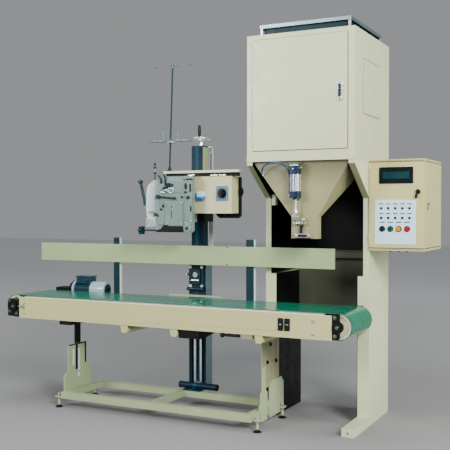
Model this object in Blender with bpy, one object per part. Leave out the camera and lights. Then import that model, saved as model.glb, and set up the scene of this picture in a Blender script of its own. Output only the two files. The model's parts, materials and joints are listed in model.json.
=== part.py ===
"""Bag filling and closing line: a weigh-filling scale, a belt conveyor and a bag closer sewing
station, as separate closed solids. Metres, +Z up, origin on the floor under the line's centre;
+X along the conveyor towards the scale, +Y away from the operator."""

import bpy
import bmesh
from math import atan2, cos, hypot, pi, radians, sin
from mathutils import Matrix, Vector

GAP = 0.0004          # clearance between pieces that touch
SHEET = 0.005         # folded sheet thickness

# Conveyor
RAIL_FRONT = -0.5115  # outer face of the front rail
RAIL_BACK = 0.012     # outer face of the back rail
RAIL_X = (-1.446, 1.132)
RAIL_Z = (0.667, 0.830)
BELT_Y = (-0.4865, -0.0425)
BELT_R = 0.088        # outer radius where the belt turns
BELT_T = 0.004
AXLE_Z = 0.755
DRIVE_X = -1.500
TAIL_X = 1.170
DRUM_R = 0.0825
AXLE_R = 0.0125
RETURN_X = (-0.470, -0.050, 0.612)
RETURN_R = 0.030
RETURN_BORE = 0.0086   # hole in the hangers for a return roller's pin
RETURN_Z = 0.636
MOTOR_AXIS = (0.085, 0.850)
SWITCH_X = (0.777, 0.824)

# Base frame under the conveyor
BASE_X = (-1.042, 0.557)
BASE_Z = (0.072, 0.122)
TUBE = 0.050

# Filling scale
SCALE_X = (0.433, 1.217)
SCALE_Y = (-0.3055, 0.5085)
CABINET_Z = (1.845, 2.722)
DOOR_X = (0.481, 1.166)
DOOR_Z = (1.920, 2.686)
LEG_FRONT = 0.0235
LEG_WIDE = 0.086
LEG_SLIM = 0.045
LEG_STEP_Z = 1.045
FOOT_Z = 0.057
SPOUT_X = (0.763, 0.9545)
SPOUT_Y = (-0.2915, -0.2300)
SPOUT_Z = (1.314, 1.463)
CYLINDER = (0.808, -0.335)
CLAMP_PIVOT = (-0.3045, 1.420)
HOSE_X = 0.766        # vertical run of the air hose beside the cylinder

# Control cabinet on the scale's right leg
CONTROL_X = (1.2175, 1.602)
CONTROL_Y = (0.0245, 0.5235)
CONTROL_Z = (1.230, 1.856)
PANEL_FRONT = 0.0055  # outer face of the control door
BUTTON_X = (1.314, 1.371, 1.428, 1.486)
BUTTON_Z = 1.380
BUTTON_R = 0.0150
BUTTON_BORE = 0.0098   # hole the button's stem slides in
KEY = (1.560, 1.632)

# Sewing station
MAST_X = (-0.2165, -0.1145)
MAST_Y = (0.060, 0.140)
MAST_TOP = 2.005
SCREW = (-0.1510, 0.100)
WHEEL_R = 0.085        # middle of the handwheel's rim
WHEEL_Z = 2.064
TABLE_X = (-0.295, 0.335)
TABLE_Z = (1.782, 1.800)
BOX_X = (-0.046, 0.266)
BOX_Y = (-0.2115, -0.100)
BOX_Z = (1.486, 1.7545)
HEAD_Y = (-0.3115, -0.2165)
BAG_SLOT_Y = (-0.262, -0.250)
NEEDLE = (-0.370, 1.410)
PRESSER = (-0.341, 1.410)
PULLEY_X = (-0.066, -0.051)
HEAD_SHAFT = (-0.165, 1.560)
MOTOR_SHAFT = (-0.014, 1.520)

CREAM = ((0.72, 0.70, 0.56), 0.45, 0.0)
WARM = ((0.74, 0.69, 0.54), 0.45, 0.0)
BLACK = ((0.03, 0.04, 0.045), 0.45, 0.0)
TEAL = ((0.02, 0.10, 0.11), 0.40, 0.0)
STEEL = ((0.62, 0.63, 0.65), 0.30, 1.0)
CHROME = ((0.82, 0.83, 0.85), 0.12, 1.0)
CASTING = ((0.60, 0.66, 0.60), 0.35, 0.0)
MOTOR = ((0.42, 0.48, 0.52), 0.45, 0.3)
GREEN = ((0.01, 0.36, 0.19), 0.40, 0.0)
TAN = ((0.62, 0.55, 0.38), 0.45, 0.0)
BLUE = ((0.05, 0.20, 0.55), 0.40, 0.0)
WHITE = ((0.86, 0.89, 0.90), 0.35, 0.0)


def clear_scene():
    for old in list(bpy.data.objects):
        bpy.data.objects.remove(old, do_unlink=True)


def solid(mesh_data):
    """Turn finished mesh data into an object."""
    mesh = bpy.data.meshes.new("solid")
    bmesh.ops.recalc_face_normals(mesh_data, faces=mesh_data.faces)
    mesh_data.to_mesh(mesh)
    mesh_data.free()
    shape = bpy.data.objects.new("solid", mesh)
    bpy.context.collection.objects.link(shape)
    return shape


def loft(rings):
    """A closed solid through rings of points with equal counts."""
    shape = bmesh.new()
    rows = [[shape.verts.new(point) for point in ring] for ring in rings]
    count = len(rows[0])
    shape.faces.new(rows[0])
    shape.faces.new(rows[-1])
    for lower, upper in zip(rows, rows[1:]):
        for i in range(count):
            j = (i + 1) % count
            shape.faces.new((lower[i], lower[j], upper[j], upper[i]))
    return solid(shape)


def box(x, y, z):
    rings = [[(x[0], y[0], h), (x[1], y[0], h), (x[1], y[1], h), (x[0], y[1], h)] for h in z]
    return loft(rings)


def place(axis, a, b, along):
    """A point from two coordinates across an axis and one along it."""
    return {"X": (along, a, b), "Y": (a, along, b), "Z": (a, b, along)}[axis]


def prism(axis, outline, span):
    """Extrude an outline along an axis. Outline pairs are (y, z), (x, z) or (x, y)."""
    return loft([[place(axis, a, b, along) for a, b in outline] for along in span])


def circle(centre, radius, sides=24):
    turn = 2 * pi / sides
    return [(centre[0] + radius * cos(turn * i), centre[1] + radius * sin(turn * i)) for i in range(sides)]


def rod(axis, centre, radius, span, sides=16):
    return prism(axis, circle(centre, radius, sides), span)


def turned(axis, centre, profile, sides=20):
    """A lathe shape: profile is a list of (position along the axis, radius)."""
    return loft([[place(axis, a, b, along) for a, b in circle(centre, r, sides)] for along, r in profile])


def bar(start, end, radius, sides=12):
    """A round bar between two points."""
    start, end = Vector(start), Vector(end)
    along = (end - start).normalized()
    side = along.orthogonal().normalized()
    other = along.cross(side)
    ring = [side * (radius * a) + other * (radius * b) for a, b in circle((0, 0), 1.0, sides)]
    return loft([[start + p for p in ring], [end + p for p in ring]])


def rounded(x, z, radius, steps=2):
    """A rectangle outline with round corners."""
    centres = [
        (x[1] - radius, z[1] - radius, 0.0),
        (x[0] + radius, z[1] - radius, pi / 2),
        (x[0] + radius, z[0] + radius, pi),
        (x[1] - radius, z[0] + radius, 1.5 * pi),
    ]
    outline = []
    for cx, cz, first in centres:
        for step in range(steps + 1):
            angle = first + step * pi / 2 / steps
            outline.append((cx + radius * cos(angle), cz + radius * sin(angle)))
    return outline


def paint(target, name, look):
    colour, roughness, metallic = look
    material = bpy.data.materials.new(name)
    material.use_nodes = True
    shader = material.node_tree.nodes["Principled BSDF"]
    shader.inputs["Base Color"].default_value = (*colour, 1.0)
    shader.inputs["Roughness"].default_value = roughness
    shader.inputs["Metallic"].default_value = metallic
    material.diffuse_color = (*colour, 1.0)
    target.data.materials.clear()
    target.data.materials.append(material)


def node(name, look, solids, cuts=(), origin=(0.0, 0.0, 0.0)):
    """Join solids, take the cuts away, and leave one named object with its origin on its axis."""
    body = solids[0]
    for operation, others in (("UNION", solids[1:]), ("DIFFERENCE", cuts)):
        for other in others:
            step = body.modifiers.new(operation.lower(), "BOOLEAN")
            step.operation = operation
            step.solver = "EXACT"
            step.object = other
    graph = bpy.context.evaluated_depsgraph_get()
    mesh = bpy.data.meshes.new_from_object(body.evaluated_get(graph))
    mesh.transform(Matrix.Translation(-Vector(origin)))
    for old in (*solids, *cuts):
        bpy.data.objects.remove(old, do_unlink=True)
    piece = bpy.data.objects.new(name, mesh)
    piece.location = origin
    bpy.context.collection.objects.link(piece)
    mesh.shade_smooth()
    mesh.set_sharp_from_angle(angle=radians(35))
    paint(piece, name, look)
    return piece


def grow(span, amount):
    """A span made longer by the same amount at both ends."""
    return (span[0] - amount, span[1] + amount)


# ---------------------------------------------------------------- filling scale

def build_cabinet():
    """The scale cabinet with its door, door lever and inlet flange."""
    inner_x = grow(SCALE_X, -SHEET)
    inner_y = grow(SCALE_Y, -SHEET)
    inner_z = grow(CABINET_Z, -SHEET)
    lip = box(SCALE_X, (SCALE_Y[0] - 0.006, SCALE_Y[1]), (CABINET_Z[0], CABINET_Z[0] + 0.035))
    shell = box(SCALE_X, SCALE_Y, CABINET_Z)
    cuts = [
        box(inner_x, inner_y, inner_z),
        box(grow(DOOR_X, 0.003), (SCALE_Y[0] - 0.02, SCALE_Y[0] + 0.02), grow(DOOR_Z, 0.003)),
        box((0.545, 1.105), (-0.215, 0.385), (CABINET_Z[1] - 0.02, CABINET_Z[1] + 0.02)),
        box((0.475, 1.175), (-0.262, 0.146), (CABINET_Z[0] - 0.02, CABINET_Z[0] + 0.02)),
    ]
    node("cabinet_shell", CREAM, [shell, lip], cuts)

    pan = box(DOOR_X, (SCALE_Y[0] - 0.010, SCALE_Y[0] + 0.012), DOOR_Z)
    hollow = box(grow(DOOR_X, -0.006), (SCALE_Y[0] - 0.006, SCALE_Y[0] + 0.03), grow(DOOR_Z, -0.006))
    face = SCALE_Y[0] - 0.010
    plate = prism("Y", rounded((1.098, 1.134), (2.236, 2.366), 0.006), (face - 0.006, face + 0.001))
    well = box((1.107, 1.125), (face - 0.010, face - 0.002), (2.258, 2.346))
    node("cabinet_door", CREAM, [pan, plate], [hollow, well], origin=(DOOR_X[0], face, DOOR_Z[0]))
    lever = [(face - 0.003, 2.262), (face - 0.003, 2.342), (face - 0.011, 2.342), (face - 0.014, 2.262)]
    node("door_handle", BLUE, [prism("X", lever, (1.109, 1.123))], origin=(1.116, face - 0.007, 2.342))

    ring_x, ring_y = (0.535, 1.150), (-0.235, 0.425)
    base = CABINET_Z[1] + GAP
    wall = box(ring_x, ring_y, (base, 2.800))
    top = box(grow(ring_x, 0.025), grow(ring_y, 0.025), (2.786, 2.800))
    foot = box(grow(ring_x, 0.025), grow(ring_y, 0.025), (base, base + 0.008))
    bore = box(grow(ring_x, -SHEET), grow(ring_y, -SHEET), (2.70, 2.82))
    node("inlet_flange", STEEL, [wall, top, foot], [bore])


def build_stand(side):
    """One leg weldment: foot beam, deep channel leg, slim upper leg and the sloping gusset."""
    outer = SCALE_X[0] if side == "left" else SCALE_X[1]
    inward = 1 if side == "left" else -1
    wide = sorted((outer, outer + inward * LEG_WIDE))
    slim = sorted((outer, outer + inward * LEG_SLIM))
    foot_front = LEG_FRONT if side == "left" else -0.3155
    leg = box(wide, (LEG_FRONT, SCALE_Y[1]), (FOOT_Z - 0.004, LEG_STEP_Z))
    upper = box(slim, (LEG_FRONT, SCALE_Y[1]), (LEG_STEP_Z - 0.01, CABINET_Z[0] - GAP))
    foot = box(wide, (foot_front, SCALE_Y[1]), (0.0, FOOT_Z))
    top = CABINET_Z[0] - GAP
    slope = [(SCALE_Y[0], top), (SCALE_Y[0], top - 0.025), (LEG_FRONT, 1.590), (LEG_FRONT + 0.02, 1.590)]
    gusset = prism("X", slope + [(LEG_FRONT + 0.02, top)], slim)
    back = SCALE_Y[1] + 0.02
    cuts = [
        box(grow(wide, -SHEET), (LEG_FRONT + SHEET, back), (FOOT_Z + 0.002, LEG_STEP_Z - SHEET)),
        box(grow(slim, -SHEET), (LEG_FRONT + SHEET, back), (LEG_STEP_Z + 0.002, top - SHEET)),
        box(grow(wide, -SHEET), (foot_front - 0.02, back), (SHEET, FOOT_Z - SHEET)),
    ]
    node("stand_" + side, CREAM, [foot, leg, upper, gusset], cuts)


def build_back_panel():
    """A thin dished panel between the legs, stiffened by one hollow beam."""
    inner = (SCALE_X[0] + LEG_WIDE + GAP, SCALE_X[1] - LEG_WIDE - GAP)
    upper = (SCALE_X[0] + LEG_SLIM + GAP, SCALE_X[1] - LEG_SLIM - GAP)
    low = box(inner, (0.470, 0.488), (0.800, 1.060))
    high = box(upper, (0.470, 0.488), (LEG_STEP_Z + 0.003, CABINET_Z[0] - GAP))
    beam = box(upper, (0.400, 0.471), (1.150, 1.195))
    cuts = [
        box(grow(upper, -0.02), (0.405, 0.500), (1.155, 1.190)),
        box(grow(inner, -0.02), (0.474, 0.50), (0.82, 1.03)),
        box(grow(upper, -0.02), (0.474, 0.50), (1.215, 1.80)),
    ]
    node("back_panel", CREAM, [low, high, beam], cuts)


def rectangle(x, y, z):
    return [(x[0], y[0], z), (x[1], y[0], z), (x[1], y[1], z), (x[0], y[1], z)]


def build_hopper():
    """The discharge hopper with a straight spout, clamp ears and the cylinder's bracket."""
    top_x, top_y = (0.4795, 1.1705), (-0.2815, 0.150)
    top = CABINET_Z[0] - GAP
    wall = 0.004
    outside = [
        rectangle(SPOUT_X, SPOUT_Y, SPOUT_Z[0]),
        rectangle(SPOUT_X, SPOUT_Y, SPOUT_Z[1]),
        rectangle(top_x, top_y, top - 0.012),
        rectangle(top_x, top_y, top),
    ]
    inside = [
        rectangle(grow(SPOUT_X, -wall), grow(SPOUT_Y, -wall), SPOUT_Z[0] - 0.02),
        rectangle(grow(SPOUT_X, -wall), grow(SPOUT_Y, -wall), SPOUT_Z[1] + 0.001),
        rectangle(grow(top_x, -wall), grow(top_y, -wall), top - 0.010),
        rectangle(grow(top_x, -wall), grow(top_y, -wall), top + 0.02),
    ]
    ears = []
    for x in (CYLINDER[0] - 0.018, CYLINDER[0] + 0.054):
        ear = [(-0.289, 1.405), (-0.316, 1.405), (-0.316, 1.435), (-0.289, 1.450)]
        ears.append(prism("X", ear, (x, x + 0.008)))
    bracket = box((0.776, 0.840), (-0.372, -0.278), (1.822, 1.832))
    hanger = box((0.776, 0.840), (-0.290, -0.276), (1.800, 1.840))
    fitting = rod("Y", (0.552, 1.762), 0.009, (-0.2910, -0.2820), 16)
    pin_hole = rod("X", CLAMP_PIVOT, 0.0056, (0.70, 1.0), 16)
    node("hopper", TAN, [loft(outside), *ears, bracket, hanger, fitting], [loft(inside), pin_hole])


def build_weigh_bucket():
    """Weighing bucket inside the cabinet, hung from a load-cell beam at each side."""
    wall = 0.004
    mouth_x, mouth_y = (0.560, 1.090), (-0.240, 0.210)
    neck_x, neck_y = (0.690, 0.960), (-0.150, 0.120)
    outside = [
        rectangle(neck_x, neck_y, 1.900),
        rectangle(mouth_x, mouth_y, 2.150),
        rectangle(mouth_x, mouth_y, 2.450),
    ]
    inside = [
        rectangle(grow(neck_x, -wall), grow(neck_y, -wall), 1.880),
        rectangle(grow(neck_x, -wall), grow(neck_y, -wall), 1.901),
        rectangle(grow(mouth_x, -wall), grow(mouth_y, -wall), 2.151),
        rectangle(grow(mouth_x, -wall), grow(mouth_y, -wall), 2.470),
    ]
    wall_x = grow(SCALE_X, -SHEET - GAP)
    beams = [
        box((wall_x[0], 0.563), (0.085, 0.125), (2.380, 2.420)),
        box((1.087, wall_x[1]), (0.085, 0.125), (2.380, 2.420)),
    ]
    node("weigh_bucket", STEEL, [loft(outside), *beams], [loft(inside)])


def build_bag_clamp():
    """The air cylinder with its rod and fork, and the clamp jaw that the rod swings."""
    x, y = CYLINDER
    profile = [
        (1.590, 0.034), (1.618, 0.034), (1.618, 0.029), (1.780, 0.029), (1.780, 0.034), (1.808, 0.034),
        (1.808, 0.012), (1.8215, 0.012),
    ]
    ports = [
        rod("X", (y, 1.604), 0.0080, (x - 0.048, x - 0.020), 12),
        rod("Z", (HOSE_X, y), 0.0078, (1.596, 1.6180), 16),
        rod("X", (y, 1.794), 0.0080, (x + 0.020, x + 0.046), 12),
    ]
    bore = rod("Z", CYLINDER, 0.0085, (1.57, 1.73))
    node("air_cylinder", STEEL, [turned("Z", CYLINDER, profile), *ports], [bore])

    stem = rod("Z", CYLINDER, 0.0075, (1.455, 1.690), 20)
    fork = box((x - 0.013, x + 0.013), (y - 0.013, y + 0.013), (1.448, 1.490))
    slot = box((x - 0.005, x + 0.005), (y - 0.02, y + 0.02), (1.42, 1.472))
    node("cylinder_rod", CHROME, [stem, fork], [slot], origin=(x, y, 1.490))

    pin = rod("X", CLAMP_PIVOT, 0.005, (x - 0.024, x + 0.072), 16)
    front = SPOUT_Y[0] - 0.002
    shape = [(-0.312, 1.427), (-0.312, 1.330), (front, 1.330), (front, 1.405), (-0.300, 1.427)]
    arm = prism("X", shape, (x + 0.026, x + 0.038))
    jaw = box((x - 0.012, x + 0.100), (-0.318, front), (1.322, 1.350))
    lever = [(-0.300, 1.413), (-0.300, 1.427), (-0.339, 1.468), (-0.346, 1.460)]
    link = prism("X", lever, (x - 0.004, x + 0.004))
    node("bag_clamp", CHROME, [pin, arm, jaw, link], origin=(x, *CLAMP_PIVOT))


def build_air_hose():
    """A hose from a fitting on the hopper over an arch and down to the cylinder's lower port."""
    route = [
        (0.552, -0.2915, 1.762),
        (0.552, -0.3080, 1.765),
        (0.560, -0.3300, 1.788),
        (0.585, -0.3420, 1.816),
        (0.635, -0.3450, 1.832),
        (0.695, -0.3450, 1.829),
        (0.742, -0.3420, 1.804),
        (0.762, -0.3370, 1.762),
        (HOSE_X, CYLINDER[1], 1.715),
        (HOSE_X, CYLINDER[1], 1.660),
        (HOSE_X, CYLINDER[1], 1.6184),
    ]
    points = smooth_route(route, 5)
    curve = bpy.data.curves.new("air_hose", "CURVE")
    curve.dimensions = "3D"
    curve.bevel_depth = 0.0055
    curve.bevel_resolution = 2
    curve.use_fill_caps = True
    spline = curve.splines.new("POLY")
    spline.points.add(len(points) - 1)
    for target, point in zip(spline.points, points):
        target.co = (*point, 1.0)
    hose = bpy.data.objects.new("air_hose", curve)
    bpy.context.collection.objects.link(hose)
    paint(hose, "air_hose", BLUE)


def smooth_route(route, steps):
    """Points read from a Catmull-Rom curve through the route."""
    ends = [route[0], *route, route[-1]]
    points = []
    for i in range(len(route) - 1):
        a, b, c, d = (Vector(p) for p in ends[i:i + 4])
        for step in range(steps):
            t = step / steps
            square = (2 * a - 5 * b + 4 * c - d) * t ** 2
            cube = (3 * b - a - 3 * c + d) * t ** 3
            points.append(0.5 * (2 * b + (c - a) * t + square + cube))
    points.append(Vector(route[-1]))
    return points


# ---------------------------------------------------------------- control cabinet

def build_control_cabinet():
    """The control cabinet with its hinged door, display, keypad, buttons and key switch."""
    shell = box(CONTROL_X, CONTROL_Y, grow(CONTROL_Z, -0.006))
    caps = [box(CONTROL_X, (0.010, CONTROL_Y[1]), z) for z in ((1.230, 1.238), (1.848, 1.856))]
    hollow = box(grow(CONTROL_X, -SHEET), (-0.01, CONTROL_Y[1] - SHEET), (1.241, 1.845))
    node("control_cabinet", CREAM, [shell, *caps], [hollow])

    door_x, door_z = (CONTROL_X[0] + 0.004, CONTROL_X[1] - 0.004), (1.2405, 1.8455)
    plate = box(door_x, (PANEL_FRONT, PANEL_FRONT + 0.018), door_z)
    hollow = box(grow(door_x, -0.006), (PANEL_FRONT + 0.004, PANEL_FRONT + 0.03), grow(door_z, -0.006))
    holes = [rod("Y", (x, BUTTON_Z), BUTTON_BORE, (-0.02, 0.05), 20) for x in BUTTON_X]
    node("control_door", CREAM, [plate], [hollow, *holes], origin=(door_x[0], PANEL_FRONT, door_z[0]))

    front = PANEL_FRONT - GAP
    window = prism("Y", rounded((1.292, 1.526), (1.690, 1.802), 0.005), (front - 0.006, front))
    recess = box((1.304, 1.514), (front - 0.010, front - 0.003), (1.702, 1.790))
    node("display_window", BLACK, [window], [recess])

    pad = prism("Y", rounded((1.262, 1.546), (1.275, 1.579), 0.006), (front - 0.003, front))
    holes = [rod("Y", (x, BUTTON_Z), BUTTON_BORE, (-0.02, 0.02), 20) for x in BUTTON_X]
    node("keypad_panel", WHITE, [pad], holes)

    looks = (BLACK, GREEN, ((0.9, 0.35, 0.05), 0.35, 0.0), ((0.75, 0.03, 0.03), 0.35, 0.0))
    for number, (x, look) in enumerate(zip(BUTTON_X, looks), 1):
        back = front - 0.003 - 0.0045
        profile = [(back - 0.010, 0.0125), (back - 0.008, BUTTON_R), (back, BUTTON_R)]
        cap = turned("Y", (x, BUTTON_Z), profile)
        stem = rod("Y", (x, BUTTON_Z), 0.0085, (back - 0.002, 0.022), 20)
        node("push_button_%d" % number, look, [cap, stem], origin=(x, back, BUTTON_Z))

    knob = turned("Y", KEY, [(front - 0.014, 0.014), (front - 0.012, 0.016), (front, 0.016)])
    blade_x, blade_z = (KEY[0] - 0.005, KEY[0] + 0.005), (KEY[1] - 0.018, KEY[1] + 0.018)
    blade = box(blade_x, (front - 0.026, front - 0.012), blade_z)
    node("key_knob", BLACK, [knob, blade], origin=(KEY[0], front, KEY[1]))


# ---------------------------------------------------------------- conveyor

def switch_frames():
    """Two raised switch frames on the front rail, each with a recess for its rocker."""
    frames, recesses = [], []
    for x in SWITCH_X:
        outline = rounded((x - 0.019, x + 0.019), (0.711, 0.794), 0.005)
        frames.append(prism("Y", outline, (RAIL_FRONT - 0.006, RAIL_FRONT + 0.002)))
        well_x, well_y = (x - 0.0125, x + 0.0125), (RAIL_FRONT - 0.020, RAIL_FRONT - 0.003)
        recesses.append(box(well_x, well_y, (0.727, 0.779)))
    return frames, recesses


def build_rail(name, outer, inward):
    """A folded channel rail with hangers below it for the return rollers."""
    web = sorted((outer, outer + inward * SHEET))
    flange = sorted((outer, outer + inward * 0.060))
    lower = sorted((outer, outer + inward * 0.020))
    solids = [
        box(RAIL_X, web, RAIL_Z),
        box((-1.400, 1.075), flange, (RAIL_Z[1] - SHEET, RAIL_Z[1])),
        box(RAIL_X, lower, (RAIL_Z[0], RAIL_Z[0] + 0.004)),
    ]
    hanger_y = sorted((outer + inward * 0.008, outer + inward * 0.016))
    cuts = []
    if name == "rail_front":
        frames, cuts = switch_frames()
        solids += frames
    for x in RETURN_X:
        outline = [(x - 0.032, 0.669), (x - 0.020, 0.612), (x + 0.020, 0.612), (x + 0.032, 0.669)]
        solids.append(prism("Y", outline, hanger_y))
        cuts.append(rod("Y", (x, RETURN_Z), RETURN_BORE, grow(hanger_y, 0.01), 20))
    node(name, WARM, solids, cuts)


def build_bearings():
    """Bearing blocks with a tongue into the rail end; the back drive block carries the gearbox."""
    places = (
        ("bearing_front_tail", TAIL_X, RAIL_FRONT, 1),
        ("bearing_back_tail", TAIL_X, RAIL_BACK, -1),
        ("bearing_front_drive", DRIVE_X, RAIL_FRONT, 1),
    )
    for name, axle_x, outer, inward in places:
        node(name, BLACK, *bearing_block(axle_x, outer, inward))
    solids, cuts = bearing_block(DRIVE_X, RAIL_BACK, -1)
    solids += [
        box((-1.560, -1.450), (0.008, 0.135), (0.690, 0.830)),
        box((-1.502, -1.360), (RAIL_BACK + GAP, 0.135), (0.690, 0.862)),
        turned("X", MOTOR_AXIS, [(-1.381, 0.052), (-1.357, 0.052), (-1.357, 0.070), (-1.343, 0.070)]),
    ]
    cuts.append(rod("Y", (DRIVE_X, AXLE_Z), 0.0132, (0.04, 0.075), 32))
    node("gear_box", BLACK, solids, cuts)


def bearing_block(axle_x, outer, inward):
    near_rail = RAIL_X[1] if axle_x > 0 else RAIL_X[0]
    away = 1 if axle_x > 0 else -1
    reach = 0.012 if away > 0 else 0.062
    body_x = sorted((near_rail + away * GAP, axle_x + away * reach))
    tongue_x = sorted((near_rail - away * 0.070, near_rail + away * 0.010))
    top = 0.842 if away > 0 else 0.812
    plate = prism("Y", rounded(body_x, (0.676, top), 0.010), sorted((outer, outer + inward * 0.021)))
    tongue = box(tongue_x, sorted((outer + inward * (SHEET + GAP), outer + inward * 0.019)), (0.705, 0.800))
    proud = 0.012 if outer == RAIL_FRONT else 0.008
    boss = rod("Y", (axle_x, AXLE_Z), 0.034, sorted((outer - inward * proud, outer + inward * 0.004)), 24)
    eye = rod("Y", (axle_x, AXLE_Z), 0.0372, sorted((outer, outer + inward * 0.021)), 32)
    bore = rod("Y", (axle_x, AXLE_Z), 0.0132, grow((outer, outer), 0.05), 32)
    return [plate, tongue, boss, eye], [bore]


def build_rollers():
    """Two drums with one inner web each, and three thin return rollers under the belt."""
    drum = (BELT_Y[0] + 0.006, BELT_Y[1] - 0.006)
    centre = (drum[0] + drum[1]) / 2
    for name, x, tail_end in (("drive_roller", DRIVE_X, 0.060), ("tail_roller", TAIL_X, 0.010)):
        shell = rod("Y", (x, AXLE_Z), DRUM_R, drum, 40)
        hollow = [
            rod("Y", (x, AXLE_Z), DRUM_R - 0.006, (drum[0] - 0.01, centre - 0.006), 24),
            rod("Y", (x, AXLE_Z), DRUM_R - 0.006, (centre + 0.006, drum[1] + 0.01), 24),
        ]
        drum_shell = node(name + "_shell", STEEL, [shell], hollow)
        axle = rod("Y", (x, AXLE_Z), AXLE_R, (RAIL_FRONT + 0.001, tail_end), 32)
        node(name, STEEL, [drum_shell, axle], origin=(x, centre, AXLE_Z))
    for number, x in enumerate(RETURN_X, 1):
        pin = RETURN_BORE - 0.0008
        profile = [
            (RAIL_FRONT + 0.006, pin),
            (-0.492, pin),
            (-0.492, RETURN_R - 0.002),
            (-0.490, RETURN_R),
            (-0.010, RETURN_R),
            (-0.008, RETURN_R - 0.002),
            (-0.008, pin),
            (RAIL_BACK - 0.006, pin),
        ]
        roller = turned("Y", (x, RETURN_Z), profile)
        node("return_roller_%d" % number, CREAM, [roller], origin=(x, centre, RETURN_Z))


def stadium(radius, steps=16):
    """An outline around both drum axes at one radius."""
    outline = []
    for centre, first in ((TAIL_X, -pi / 2), (DRIVE_X, pi / 2)):
        for step in range(steps + 1):
            angle = first + step * pi / steps
            outline.append((centre + radius * cos(angle), AXLE_Z + radius * sin(angle)))
    return outline


def build_belt():
    """The belt loop around both drums and the sheet bed it slides on."""
    loop = prism("Y", stadium(BELT_R), BELT_Y)
    core = prism("Y", stadium(BELT_R - BELT_T), grow(BELT_Y, 0.02))
    node("conveyor_belt", GREEN, [loop], [core])
    bed = box((-1.400, 1.075), (BELT_Y[0], -0.0335), (RAIL_Z[1] + GAP, 0.8375))
    under = box((-1.380, 1.055), (BELT_Y[0] + 0.040, -0.0735), (0.82, 0.8345))
    node("slider_bed", STEEL, [bed], [under])


def build_drive_motor():
    """A finned motor body with its flange, fan cover, terminal box and feet."""
    profile = [(-1.3426, 0.070), (-1.331, 0.070), (-1.331, 0.058)]
    for step in range(5):
        x = -1.318 + step * 0.031
        profile += [(x, 0.058), (x, 0.063), (x + 0.012, 0.063), (x + 0.012, 0.058)]
    profile += [(-1.164, 0.058), (-1.164, 0.0675), (-1.0425, 0.0675), (-1.0265, 0.055)]
    terminal_box = box((-1.312, -1.170), (0.045, 0.125), (0.880, 0.960))
    feet = [box((x, x + 0.03), (0.025, 0.145), (0.776, 0.800)) for x in (-1.318, -1.190)]
    node("drive_motor", MOTOR, [turned("X", MOTOR_AXIS, profile, 24), terminal_box, *feet])


def build_base_frame():
    """The floor frame: two long tubes, three cross tubes, slotted end plates and levelling feet."""
    front = (RAIL_FRONT, RAIL_FRONT + TUBE)
    back = (RAIL_BACK - TUBE, RAIL_BACK)
    full = (RAIL_FRONT, RAIL_BACK)
    solids = [box(BASE_X, front, BASE_Z), box(BASE_X, back, BASE_Z)]
    for left in (BASE_X[0], -0.280, BASE_X[1] - TUBE):
        solids.append(box((left, left + TUBE), grow(full, -0.004), grow(BASE_Z, -0.002)))
    cuts = []
    left_plate = [
        (-0.4655, 0.076),
        (-0.1255, 0.076),
        (-0.1255, 0.250),
        (-0.1500, 0.280),
        (-0.1900, 0.280),
        (-0.1900, 0.466),
        (-0.4155, 0.466),
        (-0.4155, 0.262),
        (-0.4655, 0.235),
    ]
    solids.append(prism("X", left_plate, (BASE_X[0] - 0.008, BASE_X[0] + 0.001)))
    through = (BASE_X[0] - 0.1, BASE_X[0] + 0.1)
    cuts.append(box(through, (-0.365, -0.332), (0.290, 0.430)))
    cuts.append(box(through, (-0.297, -0.262), (0.195, 0.430)))
    for shoulder, (low, high), (neck_low, neck_high), top in (
        (0.235, (-0.375, -0.265), (-0.350, -0.295), 0.420),
        (0.265, (-0.225, 0.025), (-0.195, -0.005), 0.300),
    ):
        outline = [
            (low, 0.045),
            (high, 0.045),
            (high, shoulder),
            (neck_high, shoulder + 0.020),
            (neck_high, top),
            (neck_low, top),
            (neck_low, shoulder + 0.020),
            (low, shoulder),
        ]
        solids.append(prism("X", outline, (BASE_X[1] + 0.0085, BASE_X[1] + 0.0165)))
        solids.append(box((BASE_X[1] - 0.001, BASE_X[1] + 0.009), (low, high - 0.014), (0.060, 0.160)))
    right_foot, left_foot = BASE_X[1] + 0.030, BASE_X[0] - 0.030
    for x, y in ((right_foot, -0.466), (right_foot, -0.030), (left_foot, -0.492), (left_foot, -0.030)):
        lug_x = (x - 0.034, x + 0.022) if x > 0 else (x - 0.022, x + 0.034)
        solids.append(box(lug_x, (y - 0.020, y + 0.020), (0.078, 0.088)))
        profile = [(0.0, 0.028), (0.006, 0.028), (0.014, 0.010), (0.110, 0.010)]
        solids.append(turned("Z", (x, y), profile, 20))
    node("base_frame", CREAM, solids, cuts)


def build_uprights():
    """Inner uprights that carry the conveyor and slide behind the base frame's plates."""
    head_z = (0.636, RAIL_Z[0] - GAP)
    span = (RAIL_FRONT + 0.006, RAIL_BACK - 0.006)
    left_x = (BASE_X[0] - 0.0145, BASE_X[0] - 0.0084)
    solids = [box((left_x[0], BASE_X[0] + 0.090), span, head_z)]
    solids.append(box(left_x, (-0.322, -0.250), (0.240, 0.650)))
    node("upright_left", BLACK, solids)

    right_x = (BASE_X[1] + GAP, BASE_X[1] + 0.0080)
    solids = [box((BASE_X[1] - 0.070, right_x[1]), span, head_z)]
    solids.append(box(right_x, (-0.3400, -0.0400), (0.262, 0.650)))
    cuts = [box(grow(right_x, 0.05), (y - 0.010, y + 0.010), (0.300, 0.600)) for y in (-0.245, -0.105)]
    node("upright_right", WARM, solids, cuts)


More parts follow.
